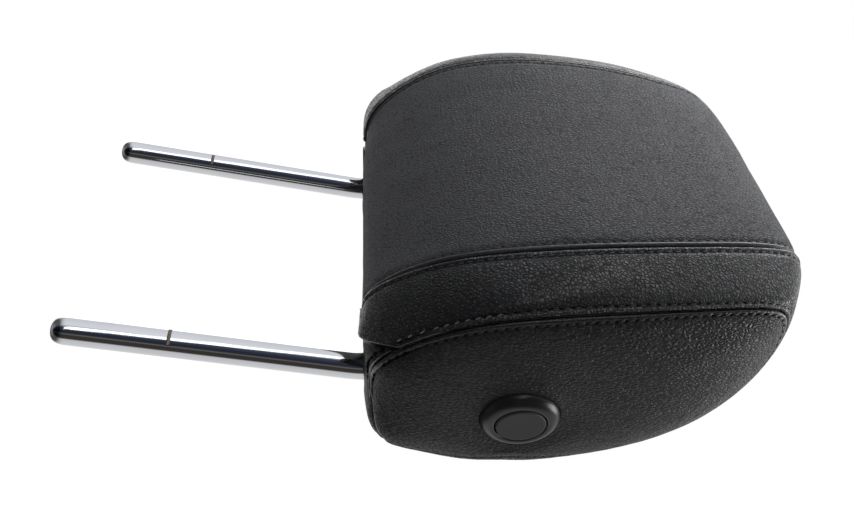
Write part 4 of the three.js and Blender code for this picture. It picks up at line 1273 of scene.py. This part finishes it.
def make_stitches(name, runs, thread, length=0.0031, thickness=0.00085):
    """One mesh with the stitches of all the given runs, which stand a little proud of the leather."""
    points, along, outward = (np.concatenate(parts) for parts in zip(*runs))
    points = points + outward * 0.08
    mesh = bpy.data.meshes.new(name)
    mesh.from_pydata((points * MM).tolist(), [], [])
    for key, values in (("along", along), ("outward", outward)):
        layer = mesh.attributes.new(key, "FLOAT_VECTOR", "POINT")
        layer.data.foreach_set("vector", values.astype(np.float32).ravel())
    piece = add_object(name, mesh)
    modifier = piece.modifiers.new("stitches", "NODES")
    modifier.node_group = STITCH_TREE
    ids = {item.name: item.identifier for item in STITCH_TREE.interface.items_tree if item.in_out == "INPUT"}
    for label, value in (("Length", length), ("Thickness", thickness), ("Slant", 0.2), ("Material", thread)):
        modifier[ids[label]] = value
    graph = bpy.context.evaluated_depsgraph_get()
    made = bpy.data.meshes.new_from_object(piece.evaluated_get(graph))
    piece.modifiers.clear()
    piece.data = made
    smooth(piece)
    return piece


even_runs, corner_runs, glint_runs = [], [], []
BAND_END_ROW = int(np.searchsorted(ROWS, STITCHES_END_ANGLE))
# The threads along the low end of the band's lower seam are painted pale: a painted highlight standing in for
# the glints they catch
GLINT_FROM = int(np.argmax(HALF_POINTS[:, BAND_END - 1, 2] > 3))
GLINT_ROWS = int(np.argmax(HALF_POINTS[:, BAND_END - 1, 2] > 44))
CORNER_ROWS = int(np.argmax(SIDE_POINTS[:, BAND_END, 2] > 9))
# Of each seam that is sewn: its normals, its column and the length along it
CENTRE_LINE = (HALF_NORMALS, CENTRE_END, CENTRE_RUN)
BAND_LINE = (HALF_NORMALS, BAND_END, BAND_RUN)
SIDE_LINE = (SIDE_NORMALS, BAND_END, SIDE_RUN)


def add_run(grid, rows, column, seam_line, mirror, runs=even_runs):
    """The stitches along one column of a panel, whose grid holds the given rows."""
    normals, seam_column, run = seam_line
    outward = normals[rows, seam_column] * (MIRROR if mirror else 1)
    runs.append(stitch_points(grid[:, column], outward, run[rows]))


for mirror in (False, True):
    half = face_grid.shape[1] // 2
    reach = CENTRE_END - 1 - STITCH_COLUMN
    column = half - reach if mirror else half + reach
    add_run(face_grid, FRONT, column, CENTRE_LINE, mirror)
    add_run(rear_grid, REAR, column, CENTRE_LINE, mirror)
    grid = band_grids["left" if mirror else "right"]
    near, far = STITCH_COLUMN, grid.shape[1] - 1 - STITCH_COLUMN
    if mirror:
        near, far = far, near
    add_run(grid, BAND_ROWS, near, CENTRE_LINE, mirror)
    glint = slice(GLINT_FROM, GLINT_ROWS)
    add_run(grid[glint], glint, far, BAND_LINE, mirror, glint_runs)
    rest = slice(GLINT_ROWS, BAND_ROWS.stop)
    add_run(grid[GLINT_ROWS:], rest, far, BAND_LINE, mirror)
    side_grid = side_left_grid * MIRROR if mirror else side_right_grid
    rest = slice(CORNER_ROWS, BAND_ROWS.stop)
    add_run(side_grid[rest], rest, STITCH_COLUMN, SIDE_LINE, mirror)
    for rest in (slice(0, CORNER_ROWS), slice(BAND_END_ROW, len(ROWS))):
        add_run(side_grid[rest], rest, STITCH_COLUMN, SIDE_LINE, mirror, corner_runs)
    under_column = STITCH_COLUMN if mirror else under_grid.shape[1] - 1 - STITCH_COLUMN
    climbed_row = UNDER.start + int(np.searchsorted(CLIMBED[UNDER], STITCHES_END_ANGLE))
    rest = slice(climbed_row, len(ROWS))
    add_run(under_grid[climbed_row - UNDER.start:], rest, under_column, BAND_LINE, mirror, corner_runs)
stitches = make_stitches("stitches", even_runs, THREAD)
corner_stitches = make_stitches("corner_stitches", corner_runs, DULL_THREAD, 0.0028, 0.0014)
glint_stitches = make_stitches("glint_stitches", glint_runs, GLINT_THREAD, 0.0024, 0.0007)


# Bodies, slots and the nodes that the pieces stand for

dressing = [
    (face_cover, SMOOTH_LEATHER, "leather_smooth", ["cover_centre"]),
    (rear_cover, SMOOTH_LEATHER, "leather_smooth", ["cover_rear"]),
    (bands["left"], COARSE_LEATHER, "leather_coarse", ["cover_band_left"]),
    (bands["right"], COARSE_LEATHER, "leather_coarse", ["cover_band_right"]),
    (side_left, FINE_LEATHER, "leather_fine", ["cover_side_left"]),
    (side_right, FINE_LEATHER, "leather_fine", ["cover_side_right"]),
    (under_cover, FINE_LEATHER, "leather_fine", ["cover_bottom"]),
]
for piece, material, slot, nodes in dressing:
    finish(piece, material)
    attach(piece, "head")
    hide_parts(*nodes)
for piece, thread in ((stitches, THREAD), (corner_stitches, DULL_THREAD), (glint_stitches, GLINT_THREAD)):
    finish(piece, thread)
    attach(piece, "head")
for piece, node in zip(slot_rims, ("slot_guide_left", "slot_guide_right")):
    finish(piece, SLOT_PLASTIC)
    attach(piece, "head")
    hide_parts(node)
finish(bezel, RING_PLASTIC)
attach(bezel, "head")
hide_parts("button_bezel")
finish(button, CAP_PLASTIC)
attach(button, "button")
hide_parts("push_button")
finish(spring, STEEL)
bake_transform(spring)
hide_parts("return_spring")
finish(posts, CHROME)
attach(posts, "posts")
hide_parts("post_frame")

screws = [f"core_screw_{number}" for number in (1, 2, 3, 4)]
inner_finish = [
    (STEEL, ["brake_sleeve", "sleeve_pin", "wrap_spring", "lever_pin", "release_lever", "push_rod", *screws]),
    (CORE_PLASTIC, ["core_front", "core_rear"]),
    (BUSH_PLASTIC, ["bush_left", "bush_right", "rod_guide"]),
    (FOAM, ["foam_front", "foam_rear"]),
]
for material, node_names in inner_finish:
    for node_name in node_names:
        for material_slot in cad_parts[node_name].material_slots:
            material_slot.material = material


# Floor, light and camera

def split_by_ray(tree, kind, lit, seen):
    """An output that shows one shader to the camera and lets another light the object."""
    ray = tree.nodes.new("ShaderNodeLightPath")
    direct = math_node(tree, "MAXIMUM", ray.outputs["Is Camera Ray"], ray.outputs["Is Transmission Ray"])
    mixed = add_node(tree, "ShaderNodeMixShader", i0=direct, i1=lit.outputs[0], i2=seen.outputs[0])
    tree.links.new(mixed.outputs[0], tree.nodes.new(kind).inputs["Surface"])


def make_floor():
    """A plain pale floor under the posts."""
    size = 4.0
    mesh = bpy.data.meshes.new("floor")
    z = TIP_Z * MM - 0.0004
    corners = [(-size, -size, z), (size, -size, z), (size, size, z), (-size, size, z)]
    mesh.from_pydata(corners, [], [(0, 1, 2, 3)])
    floor = add_object("floor", mesh)
    material = bpy.data.materials.new("floor")
    material.use_nodes = True
    tree = material.node_tree
    tree.nodes.clear()
    pale = add_node(tree, "ShaderNodeBsdfDiffuse", Color=(0.62, 0.62, 0.62, 1))
    glow = add_node(tree, "ShaderNodeEmission", Color=(1, 1, 1, 1), Strength=0.976)
    faint = add_node(tree, "ShaderNodeBsdfDiffuse", Color=(0.16, 0.16, 0.16, 1))
    white = add_node(tree, "ShaderNodeAddShader", i0=glow.outputs[0], i1=faint.outputs[0])
    split_by_ray(tree, "ShaderNodeOutputMaterial", pale, white)
    mesh.materials.append(material)
    floor.visible_glossy = False


def make_world():
    """White behind the object; round it a plain studio, bright to the front left and dark by the camera."""
    world = bpy.data.worlds.new("studio")
    bpy.context.scene.world = world
    world.use_nodes = True
    tree = world.node_tree
    tree.nodes.clear()
    ray = tree.nodes.new("ShaderNodeLightPath")
    direction = tree.nodes.new("ShaderNodeTexCoord").outputs["Generated"]
    parts = add_node(tree, "ShaderNodeSeparateXYZ", Vector=direction)
    turn = math_node(tree, "ARCTAN2", parts.outputs["Y"], parts.outputs["X"])
    place = add_node(
        tree, "ShaderNodeMapRange", Value=turn, From_Min=-math.pi, From_Max=math.pi, To_Min=0.0, To_Max=1.0,
    )
    ramp = tree.nodes.new("ShaderNodeValToRGB")
    tree.links.new(place.outputs[0], ramp.inputs["Fac"])
    # Azimuth in degrees from +X towards +Y, and the studio's colour there
    studio = [
        (-180, 0.64, 0.65, 0.68), (-125, 0.74, 0.76, 0.79), (-98, 0.78, 0.8, 0.84), (-76, 0.06, 0.07, 0.1),
        (-45, 0.018, 0.024, 0.04), (-30, 0.03, 0.03, 0.036), (-22, 0.14, 0.135, 0.13),
        (-14, 0.04, 0.036, 0.032), (16, 0.044, 0.04, 0.036), (27, 0.6, 0.6, 0.61), (95, 0.72, 0.72, 0.72),
        (128, 1.0, 1.0, 1.0), (150, 1.1, 1.1, 1.1), (164, 1.7, 1.7, 1.7), (174, 1.4, 1.4, 1.4),
        (180, 0.64, 0.65, 0.68),
    ]
    elements = ramp.color_ramp.elements
    while len(elements) < len(studio):
        elements.new(0.5)
    for element, (azimuth, *_) in zip(elements, studio):
        element.position = (azimuth + 180) / 360
    for element, (_, *colour) in zip(elements, studio):
        element.color = scaled(colour, 0.25)
    up = parts.outputs["Z"]
    above = map_range(tree, up, -0.6, -0.2, 0.12, 1.0)
    below = map_range(tree, up, -0.7, -0.95, 0.0, 0.25)
    low_level = map_range(tree, up, 0.12, 0.28, 1.0, 0.7)
    dim = math_node(tree, "ADD", low_level, map_range(tree, up, 0.3, 0.8, 0.0, 0.5))
    level = math_node(tree, "MULTIPLY", math_node(tree, "MAXIMUM", above, below), dim)
    shaded = mix_colour(tree, level, (0, 0, 0, 1), ramp.outputs["Color"])
    degrees = math_node(tree, "MULTIPLY", turn, 180 / math.pi)
    wander = add_node(tree, "ShaderNodeTexNoise", Vector=direction, Scale=20.0, Detail=4.0)
    drift = math_node(tree, "MULTIPLY", math_node(tree, "ADD", up, 0.05), 90.0)
    drift = math_node(tree, "ADD", drift, math_node(tree, "MULTIPLY", wander.outputs["Fac"], 36.0))
    moved = math_node(tree, "ADD", degrees, drift)
    low_side = map_range(tree, moved, -78, -73)
    high_side = map_range(tree, moved, -62, -55, 1.0, 0.0)
    flat = map_range(tree, math_node(tree, "ABSOLUTE", up), 0.2, 0.3, 1.0, 0.0)
    strip = math_node(tree, "MULTIPLY", math_node(tree, "MULTIPLY", low_side, high_side), flat)
    shaded = mix_colour(tree, strip, shaded, (0.5, 0.5, 0.5, 1))
    glossy = add_node(tree, "ShaderNodeBackground", Color=shaded, Strength=4.0)
    soft = add_node(tree, "ShaderNodeBackground", Color=(0.93, 0.96, 1, 1), Strength=0.18)
    white = add_node(tree, "ShaderNodeBackground", Color=(1, 1, 1, 1), Strength=1.0)
    lit = add_node(
        tree, "ShaderNodeMixShader", i0=ray.outputs["Is Glossy Ray"], i1=soft.outputs[0],
        i2=glossy.outputs[0],
    )
    split_by_ray(tree, "ShaderNodeOutputWorld", lit, white)


def add_lamp(name, place, aim, size, power):
    lamp = bpy.data.lights.new(name, "AREA")
    lamp.shape = "DISK"
    lamp.size = size
    lamp.energy = power
    holder = add_object(name, lamp)
    holder.location = place
    holder.rotation_mode = "QUATERNION"
    holder.rotation_quaternion = (Vector(aim) - Vector(place)).to_track_quat("-Z", "Y")


def make_camera():
    data = bpy.data.cameras.new("camera")
    data.sensor_fit = "HORIZONTAL"
    data.sensor_width = 36.0
    data.lens = CAMERA_LENS
    camera = add_object("camera", data)
    right = Vector(CAMERA_RIGHT).normalized()
    forward = Vector(CAMERA_FORWARD).normalized()
    down = forward.cross(right).normalized()
    right = down.cross(forward).normalized()
    turn = Matrix((right, -down, -forward)).transposed()
    camera.matrix_world = Matrix.Translation(CAMERA_PLACE) @ turn.to_4x4()
    bpy.context.scene.camera = camera


make_floor()
make_world()
add_lamp("key", (-1.08, -0.52, 0.72), aim=(0, -0.03, 0.08), size=1.1, power=9.6)
add_lamp("fill", (0.35, -0.05, 1.2), aim=(0.1, 0, 0.07), size=0.7, power=7.2)
make_camera()
bpy.context.scene.view_settings.view_transform = "Standard"
